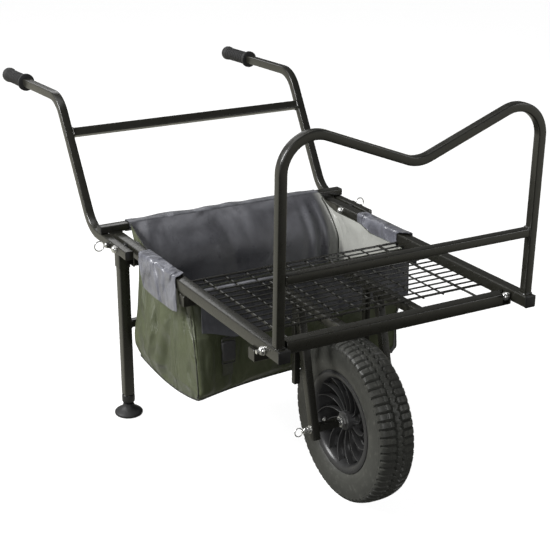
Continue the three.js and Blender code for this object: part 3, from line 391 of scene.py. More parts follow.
def sweep(shape, pts, dirs, outer, inner, side):
    """A hollow section swept along stations. side is the direction that its first axis keeps to."""
    skins = [[lay(section, p, *across(d, side)) for p, d in zip(pts, dirs)] for section in (outer, inner)]
    return shape.rings(skins[0] + skins[1][::-1], loop=True)


TUBE, BAR, WALL = 25.0, 20.0, 1.5
TUBE_CORNER, BAR_CORNER = 3.0, 2.6


def tube(shape, start, end, side=BAR, corner=BAR_CORNER, up=None, height=None):
    """A straight hollow square tube with rounded corners, open at its ends."""
    start, end = v(*start), v(*end)
    d, length = unit(end - start), np.linalg.norm(end - start)
    height = height or side
    outer = rounded_rect(height, side, corner)
    inner = rounded_rect(height - 2 * WALL, side - 2 * WALL, max(corner - WALL, 0.4))
    count = max(2, int(length / 60) + 1)
    pts = [start + d * length * k / (count - 1) for k in range(count)]
    return sweep(shape, pts, [d] * count, outer, inner, upright(d) if up is None else up)


def lathe(shape, profile, axis, at, segments=40, closed=False):
    """A turned piece: pairs of radius and distance along the axis, from a point. A closed profile leaves a bore."""
    a = unit(np.cross(axis, v(0.3, 0.9, 0.2)))
    b = np.cross(axis, a)
    return shape.rings([lay(circle(max(r, 0.02), segments), at + axis * s, a, b) for r, s in profile], loop=closed)


def wire(shape, pts, radius, steps=8):
    """Round wire through points."""
    pts = np.array(pts, float)
    dirs = headings(pts)
    side = v(0.123, 0.31, 0.95)
    if abs(unit(side) @ dirs[0]) > 0.9:
        side = v(0.95, 0.2, 0.1)
    return shape.rings([lay(circle(radius, steps), p, *across(d, side)) for p, d in zip(pts, dirs)])


def wire_ring(shape, centre, offsets, radius, steps, tag=0):
    """Round wire closed into a ring, which runs at the offsets from its centre."""
    section = circle(radius, steps)
    return shape.rings([lay(section, centre + out, unit(out), Y) for out in offsets], loop=True, tag=tag)


def bead(shape, pts, radius=1.9, closed=True):
    """A weld bead along points: overlapping ripples of weld metal."""
    pts = np.array(pts, float)
    if closed:
        pts = np.vstack([pts, pts[:1]])
    length = lengths(pts)[-1]
    at = np.linspace(0, length, max(8, int(length / 1.1)) + 1)[: -1 if closed else None]
    line = points_at(pts, at)
    rings = []
    for p, d, s in zip(line, headings(line, closed), at):
        r = radius * (0.86 + 0.2 * abs(math.sin(s * math.pi / 3.1)) + 0.08 * math.sin(s * 0.37))
        rings.append(lay(circle(r, 6), p, *across(d, v(0.35, 0.51, 0.79))))
    return shape.rings(rings, loop=closed)


def bead_round(shape, centre, axis, side, up=None):
    """A weld bead round a square tube where its end meets another piece."""
    section = rounded_rect(side + 0.6, side + 0.6, 2.8, 3)
    return bead(shape, lay(section, v(*centre), *across(axis, upright(axis) if up is None else up)))


def crossbar(end, side, weld=None, up=None, **more):
    """A tube from a point on the right to its mirror image, with a weld bead round it this far in from each end."""
    s = tube(Shape(), end * (-1, 1, 1), end, side, up=up, **more)
    if weld is not None:
        for at in SIDES:
            bead_round(s, (end - weld * X) * (at, 1, 1), X, side, up)
    return s


# Outlines for stacked, as how much wider each rectangle is and how far out: an end plug, the plate in a handle's front
# end and the plate on a cross tube's end
PLUG = ((-3.8, -14), (-3.4, -0.2), (1.2, 0), (1.8, 0.6), (1.8, 1.8), (-0.4, 2.9), (-3, 3.2))
PLATE = ((-1.2, -1.6), (0, -1), (0, 0.1), (-1, 0.5))
LID = ((-1.2, 1.6), (0, 1), (0, 0.1), (-1, 0.5))


def stacked(shape, at, w, h, outline, outwards, corner=2.4):
    """Rounded rectangles of about w by h stacked outwards: an end plug, the plate on a tube's end or a block."""
    first = X if outwards[1] else Y
    return shape.rings([lay(rounded_rect(w + g, h + g, corner), at + outwards * out, first, Z) for g, out in outline])


def slab(shape, outline, x0, x1):
    """An outline of (y, z) points run from one x to another."""
    return shape.rings([[(x, y, z) for y, z in outline] for x in (x0, x1)])


# ---------------------------------------------------------------- frame
RAIL_X, RAIL_LENGTH, RAIL_TOP, RAIL_BOTTOM = 287.5, 813, 478.0, 453.0
REST_X, REST_Y, REST_SIDE = 289.5, 18.0, 18.0
REST_FOOT, REST_DIP, REST_CROSS = 478.3, 792.5, 612.0  # heights of its feet, its dip and its cross tube
REST_LEAN, REST_SLOPE = math.radians(-1.6), math.radians(21.2)
DECK_FRONT, DECK_REAR, DECK_PITCH, DECK_WIRE = 143, 456.5, 25, 3.6
THIN, HEAVY, SIDE_WIRE_X = 1.9, 2.6, 226  # radii of the deck's wires, and where its heavy lengthwise ones lie
MID_Y, MID_Z = 414.5, 437.5
REAR_Y, REAR_Z = 800.5, 486.8
LOWER_Y, LOWER_Z = 744.5, 420.5
LEG_Y, LEG_BOLT_Z = 766.5, 428
PIVOT_Y, PIVOT_Z = 57, 460
HANDLE_X, HANDLE_Z = 318, RAIL_TOP - 0.3 - BAR / 2
HANDLE_BOLT_Y, LOCK_Y = 706, 742


def side_rails():
    """The two rails and the plugs in their front ends."""
    middle = RAIL_TOP - TUBE / 2
    s = tube(Shape(), (RAIL_X, 0, middle), (RAIL_X, RAIL_LENGTH, middle), TUBE, TUBE_CORNER)
    bead_round(s, (REST_X, REST_Y, RAIL_TOP + 0.4), Z, REST_SIDE)
    s.pair("side_rail", "tube", PAINT)
    cap = stacked(Shape(), v(RAIL_X, 0, middle), TUBE - 1.2, TUBE - 1.2, PLUG, -Y)
    cap.pair("rail_cap", "plug", PLASTIC)


def rest_point(x, z):
    return v(x, REST_Y + (z - RAIL_TOP) * math.tan(REST_LEAN), z)


def front_rest():
    """The bent front rest with a dip in its top bar, and the cross tube between its legs."""
    hump = REST_DIP + REST_X * math.tan(REST_SLOPE)
    half = [rest_point(-REST_X, REST_FOOT), rest_point(-REST_X, hump)]
    corners = half + [rest_point(0, REST_DIP)] + [p * (-1, 1, 1) for p in half[::-1]]
    pts, dirs = bent(corners, [66, 70, 66], 4)
    outer = rounded_rect(REST_SIDE, REST_SIDE, BAR_CORNER)
    inner = rounded_rect(REST_SIDE - 2 * WALL, REST_SIDE - 2 * WALL, 1.2)
    s = sweep(Shape(), pts, dirs, outer, inner, v(0, math.cos(REST_LEAN), -math.sin(REST_LEAN)))
    s.build("front_rest_tube", PAINT, "frame", ["front_rest_bar"])
    crossbar(rest_point(280.2, REST_CROSS), REST_SIDE, 0.6).put("front_rest_cross", "tube", PAINT)


def deck():
    """Cross wires on lengthwise wires, two heavy side wires that run forward over the fork's cross tube, and welds."""
    s = Shape()
    lower = RAIL_BOTTOM - 1.8 + DECK_WIRE
    spans = round((DECK_REAR - DECK_FRONT) / DECK_PITCH)
    rows = [DECK_FRONT + (DECK_REAR - DECK_FRONT) * i / spans for i in range(spans + 1)]
    for i, row in enumerate(rows):
        line = [(x, row + 0.25 * math.sin(x * 0.11 + i), lower + DECK_WIRE * 0.92) for x in np.linspace(-274.7, 274.7, 23)]
        wire(s, line, HEAVY if i in (0, spans) else THIN, 10)
    for x in range(25, 226, 50):
        for side in SIDES:
            wire(s, [(side * x, y, lower) for y in np.linspace(140.5, 458.5, 9)], THIN)
    for side in SIDES:
        wire(s, [(side * SIDE_WIRE_X, y, lower + 0.7) for y in np.linspace(82, 458.5, 12)], HEAVY, 10)
        for row in rows:
            weld = v(side * 274, row, lower + DECK_WIRE * 0.9)
            lathe(s, [(0.4, -1.6), (2.4, -1), (3, 0), (2.4, 1), (0.4, 1.6)], Z, weld, 8)
    s.put("wire_deck", "grid", PAINT)


def cross_tubes():
    """The middle tube under the rails on its pads, the flat rear bar and its plugs, and the rear lower tube."""
    s = crossbar(v(299.4, MID_Y, MID_Z), TUBE, corner=TUBE_CORNER)
    for side in SIDES:
        stacked(s, v(side * 299.2, MID_Y, MID_Z), TUBE - 1, TUBE - 1, LID, X * side)
        stacked(s, v(0, MID_Y, 451), 24.6, 3.4, ((0, 277), (0, 298)), X * side, 1.2)
        for y in (MID_Y - TUBE / 2, MID_Y + TUBE / 2):
            bead(s, [(side * 276.5, y, 451.2), (side * 298.5, y, 451.2)], 1.6, False)
    s.put("mid_cross_tube", "bar", PAINT)
    s = crossbar(v(326, REAR_Y, REAR_Z), TUBE, height=17)
    for side in SIDES:
        for y in (787.6, 812.9):
            bead(s, [(side * 275.5, y, 478.6), (side * 299.5, y, 478.6)], 1.9, False)
    s.put("rear_bar", "tube", PAINT)
    stacked(Shape(), v(326.2, REAR_Y, REAR_Z), TUBE - 1.6, 15.4, PLUG, X).pair("rear_bar_cap", "plug", PLASTIC)
    s = crossbar(v(272.8, LOWER_Y, LOWER_Z), TUBE, 0.4, corner=TUBE_CORNER)
    s.put("rear_lower_tube", "bar", PAINT)


def leg_sleeves():
    """Square sockets welded under the rails, each with a round boss and the bolt that clamps the leg."""
    s = tube(Shape(), (RAIL_X, LEG_Y, 400), (RAIL_X, LEG_Y, 452.7), 28.8, 3.2)
    boss = v(RAIL_X, 780.9, LEG_BOLT_Z)
    lathe(s, [(4.5, -1.2), (7.5, -1.2), (7.5, 10.8), (7, 11.8), (4.5, 12)], Y, boss, 28, closed=True)
    bead_round(s, (RAIL_X, LEG_Y, 452.2), Z, 28.4)
    bead(s, lay(circle(7.9, 20), boss + 0.3 * Y, X, Z), 1.5)
    s.pair("leg_sleeve", "socket", PAINT)
    profile = [(3.6, -13.9), (4, -13.2), (4, 0), (7.6, 0), (8, 0.5), (8, 5.2), (7.4, 6.3), (6.2, 6.9), (3.4, 7),
               (3.1, 4.6), (0, 4.4)]
    lathe(Shape(), profile, Y, v(RAIL_X, 793.2, LEG_BOLT_Z), 28).pair("leg_clamp", "bolt", ZINC)


def bolts():
    """Domed nuts on both ends of the fork's and the handles' bolts, and the spacers between rail and handle."""
    dome = [(4, -1), (8.9, -0.4), (9.3, 0.3), (9.1, 1.3), (8.6, 1.6), (8.5, 3.0), (8.1, 4.6), (7.2, 6.3), (5.6, 7.8),
            (3.2, 8.8), (0, 9.2)]
    for name, y, z, outside, inside, middle, half in (("fork_bolt", PIVOT_Y, PIVOT_Z, 300.2, 271.1, 286, 29),
                                                      ("handle_bolt", HANDLE_BOLT_Y, HANDLE_Z, 328.4, 275, 302, 27)):
        s = lathe(Shape(), dome, X, v(outside, y, z), 28)
        lathe(s, dome, -X, v(inside, y, z), 28)
        lathe(s, [(3.9, -half), (3.9, half)], X, v(middle, y, z), 16)
        s.pair(name, "nuts", ZINC)
    spacer = [(4.4, 0), (10.6, 0), (11.2, 0.6), (11.2, 7), (10.6, 7.6), (4.4, 7.6)]
    s = lathe(Shape(), spacer, X, v(300.1, HANDLE_BOLT_Y, HANDLE_Z), 32, closed=True)
    s.pair("handle_spacer", "ring", PLASTIC)


def lock_pins():
    """Spring pins in the handle tubes' housings, each with a pull ring through its tip."""
    profile = [(3.2, 0), (3.9, 0.8), (3.9, 27), (5.7, 27.1), (6, 27.6), (6, 29.4), (5.5, 30), (3.7, 30.4), (3.5, 32.2),
               (2.5, 33.6), (0, 34)]
    s = lathe(Shape(), profile, X, v(308.3, LOCK_Y, HANDLE_Z), 28)
    around = [11.5 * v(math.cos(a), 0, math.sin(a)) for a in angles(40)]
    wire_ring(s, v(352.4, LOCK_Y, HANDLE_Z), around, 1.4, 10)
    s.pair("lock_pin", "plunger", ZINC, "lock_pin_{}")


# ---------------------------------------------------------------- fork
FORK_TUBE_Y, FORK_TUBE_Z = 92.5, 440.2
BEARER_X, BEARER_Z = 91, RAIL_BOTTOM - 11.8
BEARER_BOTTOM = BEARER_Z - BAR / 2 - 0.3
ARM_X, ARM_SIDE, ARM_LEAN, ARM_TAIL = 97.5, 18, math.radians(14.3), 21
STRUT_X, STRUT_Y, STRUT_SIDE, STRUT_LENGTH = 88, 300, 14, 185


def fork():
    """The crossbar on the pivots, the tube behind it, and the bearers, leaning arms and struts on the right."""
    cut = 254.4
    s = crossbar(v(cut, PIVOT_Y, PIVOT_Z), TUBE, corner=TUBE_CORNER)
    lip = [(44.5, 449.0), (46.0, 447.5), (68.0, 447.5), (69.5, 449.0), (69.5, 472.0), (67.9, 472.0), (67.9, 449.1),
           (44.5, 449.1)]
    cheek = [(44.5, 447.5), (69.5, 447.5), (69.5, 452.8), (105, 452.8), (105, 460), (72, 469.5), (69.5, 472.5),
             (44.5, 472.5)]
    for side in SIDES:
        slab(s, lip, side * (cut - 3), side * 272)
        slab(s, cheek, side * 274.4, side * 271.4)
    s.put("fork_crossbar", "tube", PAINT, "fork")
    s = crossbar(v(305, FORK_TUBE_Y, FORK_TUBE_Z), TUBE, corner=TUBE_CORNER)
    for side in SIDES:
        bead_round(s, (side * BEARER_X, 105.2, BEARER_Z), Y, BAR)
        bead(s, [(side * 272.9, 106, 452.6), (side * 272.9, 79, 452.6)], 1.7, False)
        stacked(s, v(side * 304.8, FORK_TUBE_Y, FORK_TUBE_Z), TUBE - 1, TUBE - 1, LID, X * side)
    s.put("fork_cross_tube", "bar", PAINT, "fork")
    s = tube(Shape(), (BEARER_X, 105.3, BEARER_Z), (BEARER_X, 394, BEARER_Z))
    s.pair("fork_bearer", "tube", PAINT, "fork")

    d = v(0, math.sin(ARM_LEAN), math.cos(ARM_LEAN))
    foot, top = (AXLE + ARM_X * X + d * rise / d[2] for rise in (-ARM_TAIL, BEARER_BOTTOM - TYRE_R))

    def cut_level(side, corner, stations):
        """Sections of the arm, cut level."""
        rings = [(p, lay(rounded_rect(side, side, corner), p, X, np.cross(d, X))) for p in stations]
        return [ring - np.outer((ring[:, 2] - p[2]) / d[2], d) for p, ring in rings]

    stations = [foot + (top - foot) * t for t in np.linspace(0, 1, 6)]
    bore = cut_level(ARM_SIDE - 2 * WALL, 1.0, stations[::-1])
    s = Shape().rings(cut_level(ARM_SIDE, 2.4, stations) + bore, loop=True)
    bead_round(s, (ARM_X, top[1], BEARER_BOTTOM + 0.1), Z, ARM_SIDE + 0.4)
    lathe(s, [(6.6, -0.4), (10.2, -0.2), (10.2, 1.2), (6.6, 1.2)], -X, AXLE + 88.6 * X, 24)
    s.pair("fork_arm", "tube", PAINT, "fork")
    top = v(STRUT_X, STRUT_Y, BEARER_BOTTOM)
    s = tube(Shape(), top - STRUT_LENGTH * Z, top, STRUT_SIDE, 2.2)
    bead_round(s, top, Z, STRUT_SIDE)
    s.pair("fork_strut", "tube", PAINT, "fork")


def axle():
    """The axle with its washer, the square spacers beside the hub, and the pull pin in its left end."""
    profile = [(5.9, -108.5), (5.9, 106.8), (10, 106.8), (10.4, 107.4), (10.4, 111.4), (8.4, 114), (5.2, 115.6),
               (0, 116)]
    s = lathe(Shape(), profile, X, AXLE, 32)
    washer = [(3.5, -0.4), (8.6, -0.4), (9, 0.4), (8.6, 1.8), (6.4, 2), (3.5, 2)]
    lathe(s, washer, -X, AXLE - 106.6 * X, 28, closed=True)
    s.put("axle", "rod", ZINC, "fork")
    s = stacked(Shape(), AXLE, 16, 16, ((0, 40.4), (0, 88.2)), X, 1.8)
    s.pair("hub_spacer", "block", PAINT, "fork")
    pin = [(3.2, -24), (3.2, 0), (6, 0), (6.5, 0.7), (6.5, 5), (5.5, 5.7), (5.5, 8.2), (6.5, 9), (6.5, 14.2), (5.8, 15),
           (3.3, 15.3), (3.2, 17.4), (2.2, 18.3), (0, 18.5)]
    s = lathe(Shape(), pin, -X, AXLE - 108.8 * X, 28)
    wire_ring(s, AXLE - 135 * X, [9 * v(math.cos(a), 0.15 * math.sin(a), math.sin(a)) for a in angles(36)], 1.2, 8)
    s.put("axle_pin", "plunger", ZINC, "axle_pin")


# ---------------------------------------------------------------- wheel
LUGS, STEPS_PER_LUG = 64, 8
TYRE_HALF, TYRE_SECTION = 43.0, 72.0
BEAD_R = TYRE_R - TYRE_SECTION
GROOVE_X, GROOVE_SWING = 8.5, 2.2  # how far the zigzag grooves are from the tread's middle, and how far they swing
VALVE_X, VALVE_R = -17.8, 90.4
VALVE_LEAN, VALVE_AT = math.radians(35), math.radians(112)  # its lean out of the wheel's plane, its place round the axle


def around_axle(profile, angle):
    """A profile of (x, radius) points at an angle round the axle."""
    p = np.array(profile, float)
    return wheel_points(np.stack([p[:, 0], p[:, 1] * math.sin(angle), p[:, 1] * math.cos(angle)], 1))


def spun(shape, profile, steps, tag=0):
    """A closed profile of (radius, x) points turned round the axle."""
    return shape.rings([around_axle([(x, r) for r, x in profile], a) for a in angles(steps)], loop=True, tag=tag)


def tyre_curve(shares, steps):
    """A Catmull-Rom curve through points, given as shares of the tyre's half width and section height."""
    p = np.array([(w * TYRE_HALF, BEAD_R + h * TYRE_SECTION) for w, h in shares])
    p = np.vstack([2 * p[0] - p[1], p, 2 * p[-1] - p[-2]])
    out = []
    for a, b, c, d in zip(p, p[1:], p[2:], p[3:]):
        for t in np.linspace(0, 1, steps, endpoint=False):
            out.append(0.5 * (2 * b + (c - a) * t + (2 * a - 5 * b + 4 * c - d) * t * t + (3 * b - a - 3 * c + d) * t ** 3))
    return np.array(out + [p[-2]])


def tread_depth(x, step, phase):
    """How deep the tread is cut at x. step and phase count round a lug's pitch, phase from its own row's gap."""
    swing = GROOVE_SWING * (abs(step / STEPS_PER_LUG * 2 - 1) * 2 - 1)
    if abs(abs(x) - GROOVE_X - (swing if x > 0 else -swing)) < 1.9:
        return 4.6
    if abs(x) > GROOVE_X and phase in (0, 1):
        return 2.6 if phase else 5.2
    if 18 < abs(x) < 21:
        return 1.4 if phase > 1 else 0.0
    return 1.6 if abs(x) < 7 and phase == 4 else 0.0


def tyre():
    """A barrow tyre: smooth sidewalls with moulded rings, and two rows of square lugs split by zigzag grooves."""
    wall = tyre_curve([(0.8, 0.045), (0.87, 0.1), (0.94, 0.2), (0.985, 0.34), (1.0, 0.5), (0.985, 0.64), (0.955, 0.74)], 5)
    crown = tyre_curve([(0.955, 0.74), (0.93, 0.845), (0.85, 0.905), (0.72, 0.945), (0.45, 0.985), (0.2, 0.998), (0, 1)], 5)
    half_inner = [(0.74, 1 / TYRE_SECTION), (0.86, 0.2), (0.9, 0.5), (0.6, 0.8)]
    inner = tyre_curve([(-w, h) for w, h in half_inner] + [(0, 0.87)] + half_inner[::-1], 3)
    side = np.vstack([wall, crown[1:]])
    smooth = np.vstack([side, side[-2::-1] * (-1, 1)])
    moulded = smooth.copy()
    for at, high in ((0.27, 1.0), (0.62, 0.9), (0.72, 2.1)):
        moulded[:, 1] += [high * bell(r - BEAD_R - at * TYRE_SECTION, 1.4) for r in smooth[:, 1]]
    first, last = len(wall) + 3, len(smooth) - len(wall) - 4
    rings = []
    for k in range(LUGS * STEPS_PER_LUG):
        ring = moulded.copy()
        for j in range(first, last + 1):
            x, r = smooth[j]
            step, phase = k % STEPS_PER_LUG, (k + (STEPS_PER_LUG // 2 if j >= len(side) - 1 else 0)) % STEPS_PER_LUG
            slope = min(1.0, (min(j - first, last - j) + 1) / 2)
            ring[j] -= unit(v(x * 0.25, r - BEAD_R - 20)) * tread_depth(x, step, phase) * slope
        rings.append(around_axle(np.vstack([ring, inner]), 2 * math.pi * k / (LUGS * STEPS_PER_LUG)))
    Shape().rings(rings, loop=True).put("tyre", "carcass", TYRE_RUBBER, "wheel", sharp=38)


def rim():
    """A moulded rim: rolled flange, dished barrel, two sets of curved fins and a stepped hub."""
    half = [(93.4, 0), (93.4, 10), (93.4, 24), (94.2, 29.5), (96.5, 33.6), (100, 36.6), (104.5, 38.4), (109.5, 38.8),
            (112.6, 37.6), (113.3, 35.6), (112, 34), (108, 33.2), (106.6, 31), (105.6, 24), (100, 12), (98.4, 0)]
    s = spun(Shape(), half[:-1] + [(r, -x) for r, x in half[:0:-1]], 120)
    half = [(9.3, -25), (19.5, -25), (21, -23.6), (21.4, -14), (24, -9), (31, -6.4), (32.6, -4.6)]
    spun(s, half + [(r, -x) for r, x in half[::-1]], 64, tag=1)
    for i in range(28):
        side, base = (1, -1)[i % 2], 2 * math.pi * (i // 2) / 14
        skins = []
        for share in np.linspace(0, 1, 14):
            r, at = 19 + 76 * share, base + math.radians(26) * share * share
            here = v(side * (10.5 + 15 * share ** 1.3), r * math.sin(at), r * math.cos(at))
            section = rounded_rect(11.5 + 3 * share, 2.2 + abs(2 * share - 1), 0.9, 3)
            skins.append(wheel_points(lay(section, here, X, v(0, math.cos(at), -math.sin(at)))))
        s.rings(skins)
    s.put("rim", "moulding", RIM_PLASTIC, "wheel", more=(HUB_PLASTIC,))


def hub_fittings():
    """The bush with its two hexagonal nuts, and the valve with a knurled cap."""
    s = spun(Shape(), [(6.4, -39.8), (8.6, -39.8), (9, -39.2), (9, 39.2), (8.6, 39.8), (6.4, 39.8)], 40)
    for side in SIDES:
        rings = []
        for a in angles(48):
            flat = 11.3 / math.cos((a + math.pi / 6) % (math.pi / 3) - math.pi / 6)
            nut = [(25.2, 7.6), (25.2, flat - 0.9), (26.2, flat), (33.2, flat), (34.3, flat - 0.9), (34.3, 7.6)]
            rings.append(around_axle([(side * x, r) for x, r in nut], a))
        s.rings(rings, loop=True)
    s.put("hub_bush", "nuts", ZINC, "wheel")
    profile = [(4.4, 0), (4.2, 1.5), (3.1, 6), (3, 14.6), (3.9, 15), (4.1, 16), (4.1, 25), (3.6, 27.5), (2.6, 29),
               (0.1, 29.4)]
    cos, sin = math.cos(VALVE_LEAN), math.sin(VALVE_LEAN)
    rings = []
    for r, along in profile:
        ring = []
        for a in angles(20):
            knurled = r * (1 + (0.05 * math.cos(10 * a) if 15.5 < along < 26 else 0))
            x, y = knurled * math.cos(a), knurled * math.sin(a)
            out = VALVE_R - x * sin - along * cos
            ring.append((x * cos - along * sin + VALVE_X, y * math.cos(VALVE_AT) + out * math.sin(VALVE_AT),
                         out * math.cos(VALVE_AT) - y * math.sin(VALVE_AT)))
        rings.append(wheel_points(ring))
    s = Shape().rings(rings[:5]).rings(rings[4:], tag=1)
    s.put("valve_stem", "rubber", GRIP_RUBBER, "wheel", more=(ZINC,))


# ---------------------------------------------------------------- handles
BEND, HIGH, END = v(HANDLE_X, 868, HANDLE_Z), v(321.5, 1042, 752), v(325, 1420, 742)
CROSS_SHARE = 0.724  # where the cross tube meets the raked part of the handles
GRIP_REACH = 143  # how far a grip covers its handle, along Y


def handles():
    """The bent handle tubes with the lock pins' housings, the tube across them and their ribbed grips."""
    front = v(HANDLE_X, 648, HANDLE_Z)
    pts, dirs = bent([front, BEND, HIGH, END + unit(HIGH - END) * 7], [80, 74], 4)
    inner = rounded_rect(BAR - 2 * WALL, BAR - 2 * WALL, 1.2)
    s = sweep(Shape(), pts, dirs, rounded_rect(BAR, BAR, BAR_CORNER), inner, X)
    stacked(s, front + 0.2 * Y, BAR - 1, BAR - 1, PLATE, -Y)
    housing = v(HANDLE_X + BAR / 2, LOCK_Y, HANDLE_Z)
    lathe(s, [(4.3, -0.6), (7.5, -0.6), (7.5, 5.6), (6.9, 6.8), (4.3, 7)], X, housing, 28, closed=True)
    bead(s, lay(circle(7.8, 20), housing + 0.2 * X, Y, Z), 1.2)
    for shape, side in ((s, "right"), (s.mirror(), "left")):
        shape.build("handle_" + side + "_tube", PAINT, "handles", ["handle_tube_" + side])
    end = BEND + (HIGH - BEND) * CROSS_SHARE - 10.3 * X
    crossbar(end, BAR, 0.5, unit((HIGH - BEND) * (Y + Z))).put("handle_cross", "tube", PAINT, "handles")
    along = unit(END - HIGH)
    length = GRIP_REACH / along[1]
    profile = [(10.3, 0), (19.6, 0), (21.4, 0.7), (22, 2), (22, 6.6), (21.2, 8), (18.4, 9.2), (15.6, 12.4)]
    rib = [(15.0, 0), (15.1, 1.4), (16.8, 2.2), (17.1, 3.2), (17.1, 6.8), (16.8, 7.7), (15.1, 8.6)]
    for at in np.arange(14.0, length - 26, 10.2):
        profile += [(r, at + s) for r, s in rib]
    profile += [(r, length - s) for r, s in ((15.6, 24), (17.4, 20), (18.8, 15), (19.2, 10), (18.6, 5), (16.8, 1.8),
                                             (13.4, 0.2), (9, 0), (0, 0))]
    s = lathe(Shape(), profile, along, END - along * length)
    s.pair("grip", "sleeve", GRIP_RUBBER, "handles", sharp=40)


# ---------------------------------------------------------------- legs and feet
TIE_Z, TIE_SIDE = 254, 18
BALL_R, BALL_Z, NECK_R = 9, 40, 5.6
COLLAR_HIGH = 20


def over_foot(side, height):
    """The point in part metres at a height in millimetres over the middle of a foot."""
    low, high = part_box("foot_" + side)
    return v((low.x + high.x) / 2, (low.y + high.y) / 2, height / 1000)


def legs():
    """Legs, their tie bar, the collars below them, and the feet, which stand upright in the part's frame."""
    ball = to_level(over_foot("right", BALL_Z))[0]
    collar_top = ball[2] + 13
    s = tube(Shape(), (RAIL_X, LEG_Y, collar_top + 0.3), (RAIL_X, LEG_Y, 452.4), TUBE, TUBE_CORNER)
    s.pair("leg", "tube", PAINT, "legs")
    crossbar(v(274.8, LEG_Y, TIE_Z), TIE_SIDE, 0.2).put("leg_tie", "tube", PAINT, "legs")
    collar = [(9.8, 15), (9.8, 4), (8.4, 2), (8.4, 0.2), (13, 0), (14.8, 1), (15.6, 2.8), (15.6, 16.5), (15, 18.5),
              (13.4, 19.9), (0, COLLAR_HIGH)]
    s = lathe(Shape(), collar, Z, v(RAIL_X, LEG_Y, collar_top - COLLAR_HIGH), 36)
    s.pair("leg_collar", "ring", PLASTIC, "legs")
    profile = [(0, 0), (29, 0), (31, 0.4), (33.4, 1.8), (34, 3.6), (34, 5.6), (33, 7.4), (30.2, 9.4), (26, 11.8),
               (21.6, 14.6), (17.8, 18), (15.0, 21.6), (13.4, 25), (12.8, 27.4), (12.2, 28.6), (10.6, 28.8), (6.2, 27.6),
               (NECK_R, 31)]
    start = -math.acos(NECK_R / BALL_R)
    profile += [(BALL_R * math.cos(a), BALL_Z + BALL_R * math.sin(a)) for a in np.linspace(start, math.pi / 2, 9)]
    for side in ("right", "left"):
        rings = []
        for r, z in profile:
            section = circle(r * (1.012 if z > 8 else 1) / 1000, 56)
            rings.append(to_level(lay(section, over_foot(side, z), X, Y)))
        Shape().rings(rings).put("foot_" + side, "pad", GRIP_RUBBER, "foot_" + side)


# ---------------------------------------------------------------- bag
BAG_HALF, BAG_BOTTOM = 271.6, 200.0
FRONT_TOP, REAR_TOP = 430.5, 786.2
BAG_ROWS, CLOTH = 76, 0.0016  # rows of points, and the cloth's thickness in metres
BESIDE, BEFORE, BEHIND = 272.4, 384.0, 730.0  # how far the bag's cloth may stand out below the frame's tubes


def place_on(u):
    """Which of the bag's four sides u is on, and how far along it: 0 front (left to right), 1 right, 2 rear, 3 left."""
    return int(u) % 4, u - int(u)


def front_y(x, z):
    """The front wall: sloping back to the middle tube, and drawn in along its bottom edge."""
    left = np.interp(z, [200, 213, 284, 374, 413, 424, 453], [397, 394, 401, 420, 427, FRONT_TOP, FRONT_TOP])
    right = np.interp(z, [200, 284, 343, 414, 424, 453], [408, 412, 420, 430, FRONT_TOP, FRONT_TOP])
    pull = max(0.0, 1 - (x / 262) ** 2)
    return left + (right - left) * ramp(x, -120, 272) + 40 * pull * ramp(345 - z, 0, 150) + 12 * ramp(222 - z, 0, 22)


def rear_y(z, x=0.0):
    """The rear wall: nearly upright below, curving back smoothly up to the rear bar, and fuller in its left corner."""
    rise = min(1.0, max(0.0, (z - 378) / (496 - 378)))
    y = 714 + (REAR_TOP - 714) * rise ** 2.2 + 17 * ramp(370 - z, 0, 150)
    corner = 728 + (REAR_TOP - 728) * min(1.0, max(0.0, (z - 440) / 56)) ** 0.6
    return y + max(0.0, corner - y) * ramp(-x, 215, 255) * ramp(z, 438, 446)


def pulled_in(y, z):
    """How far the side walls lean in towards the rear bar."""
    return 14 * ramp(y, 628, 786) * ramp(z, 330, 470)


def bag_ring(u, z):
    """A point on the bag's smooth outline at height z, with its corners rounded."""
    side, s = place_on(u)
    half = BAG_HALF - 3.5 * ramp(220 - z, 0, 20)
    low = 23 * ramp(352 - z, 0, 70)
    rear_half = half - pulled_in(rear_y(z), z)
    soft = 9.0 if z < 400 else 9.0 - 5 * ramp(z, 400, 450)
    if side == 0:
        x = -half + (2 * half - low) * s
        y = front_y(x, z)
    elif side == 2:
        x = rear_half - 2 * rear_half * s
        y = rear_y(z, x)
    else:
        end = half if side == 1 else -half
        y = front_y(end, z) + (rear_y(z, end) - front_y(end, z)) * (s if side == 1 else 1 - s)
        x = half - pulled_in(y, z)
        x = x - low * (1 - s) ** 2 if side == 1 else -x

    def rounding(edge):
        """How far a wall turns in at a distance from its corner."""
        return 0.9 * (soft - math.sqrt(max(soft * soft - (soft - edge) ** 2, 0))) if edge < soft else 0.0

    edge_x = (rear_half if side == 2 else half) - abs(x)
    edge_y = min(abs(y - front_y(x, z)), abs(y - rear_y(z, x)))
    if side in (0, 2):
        return v(x, y + (1 if side == 0 else -1) * rounding(edge_x), z)
    return v(x - (1 if side == 1 else -1) * rounding(edge_y), y, z)


def bag_top(u):
    """How high the cloth stands at u."""
    side, s = place_on(u)
    if side in (0, 2):
        return 452.2 if side == 0 else 495.4
    y = FRONT_TOP + (REAR_TOP - FRONT_TOP) * (s if side == 1 else 1 - s)
    if side == 1:
        return float(np.interp(y, [461, 590, 632, 690, 740, 765, 782], [452.0, 449, 460, 461, 464, 473, 495.4]))
    return float(np.interp(y, [461, 467, 622, 640, 690, 746, 770, 782], [452.2, 476, 476, 467, 472, 482, 491, 495.4]))


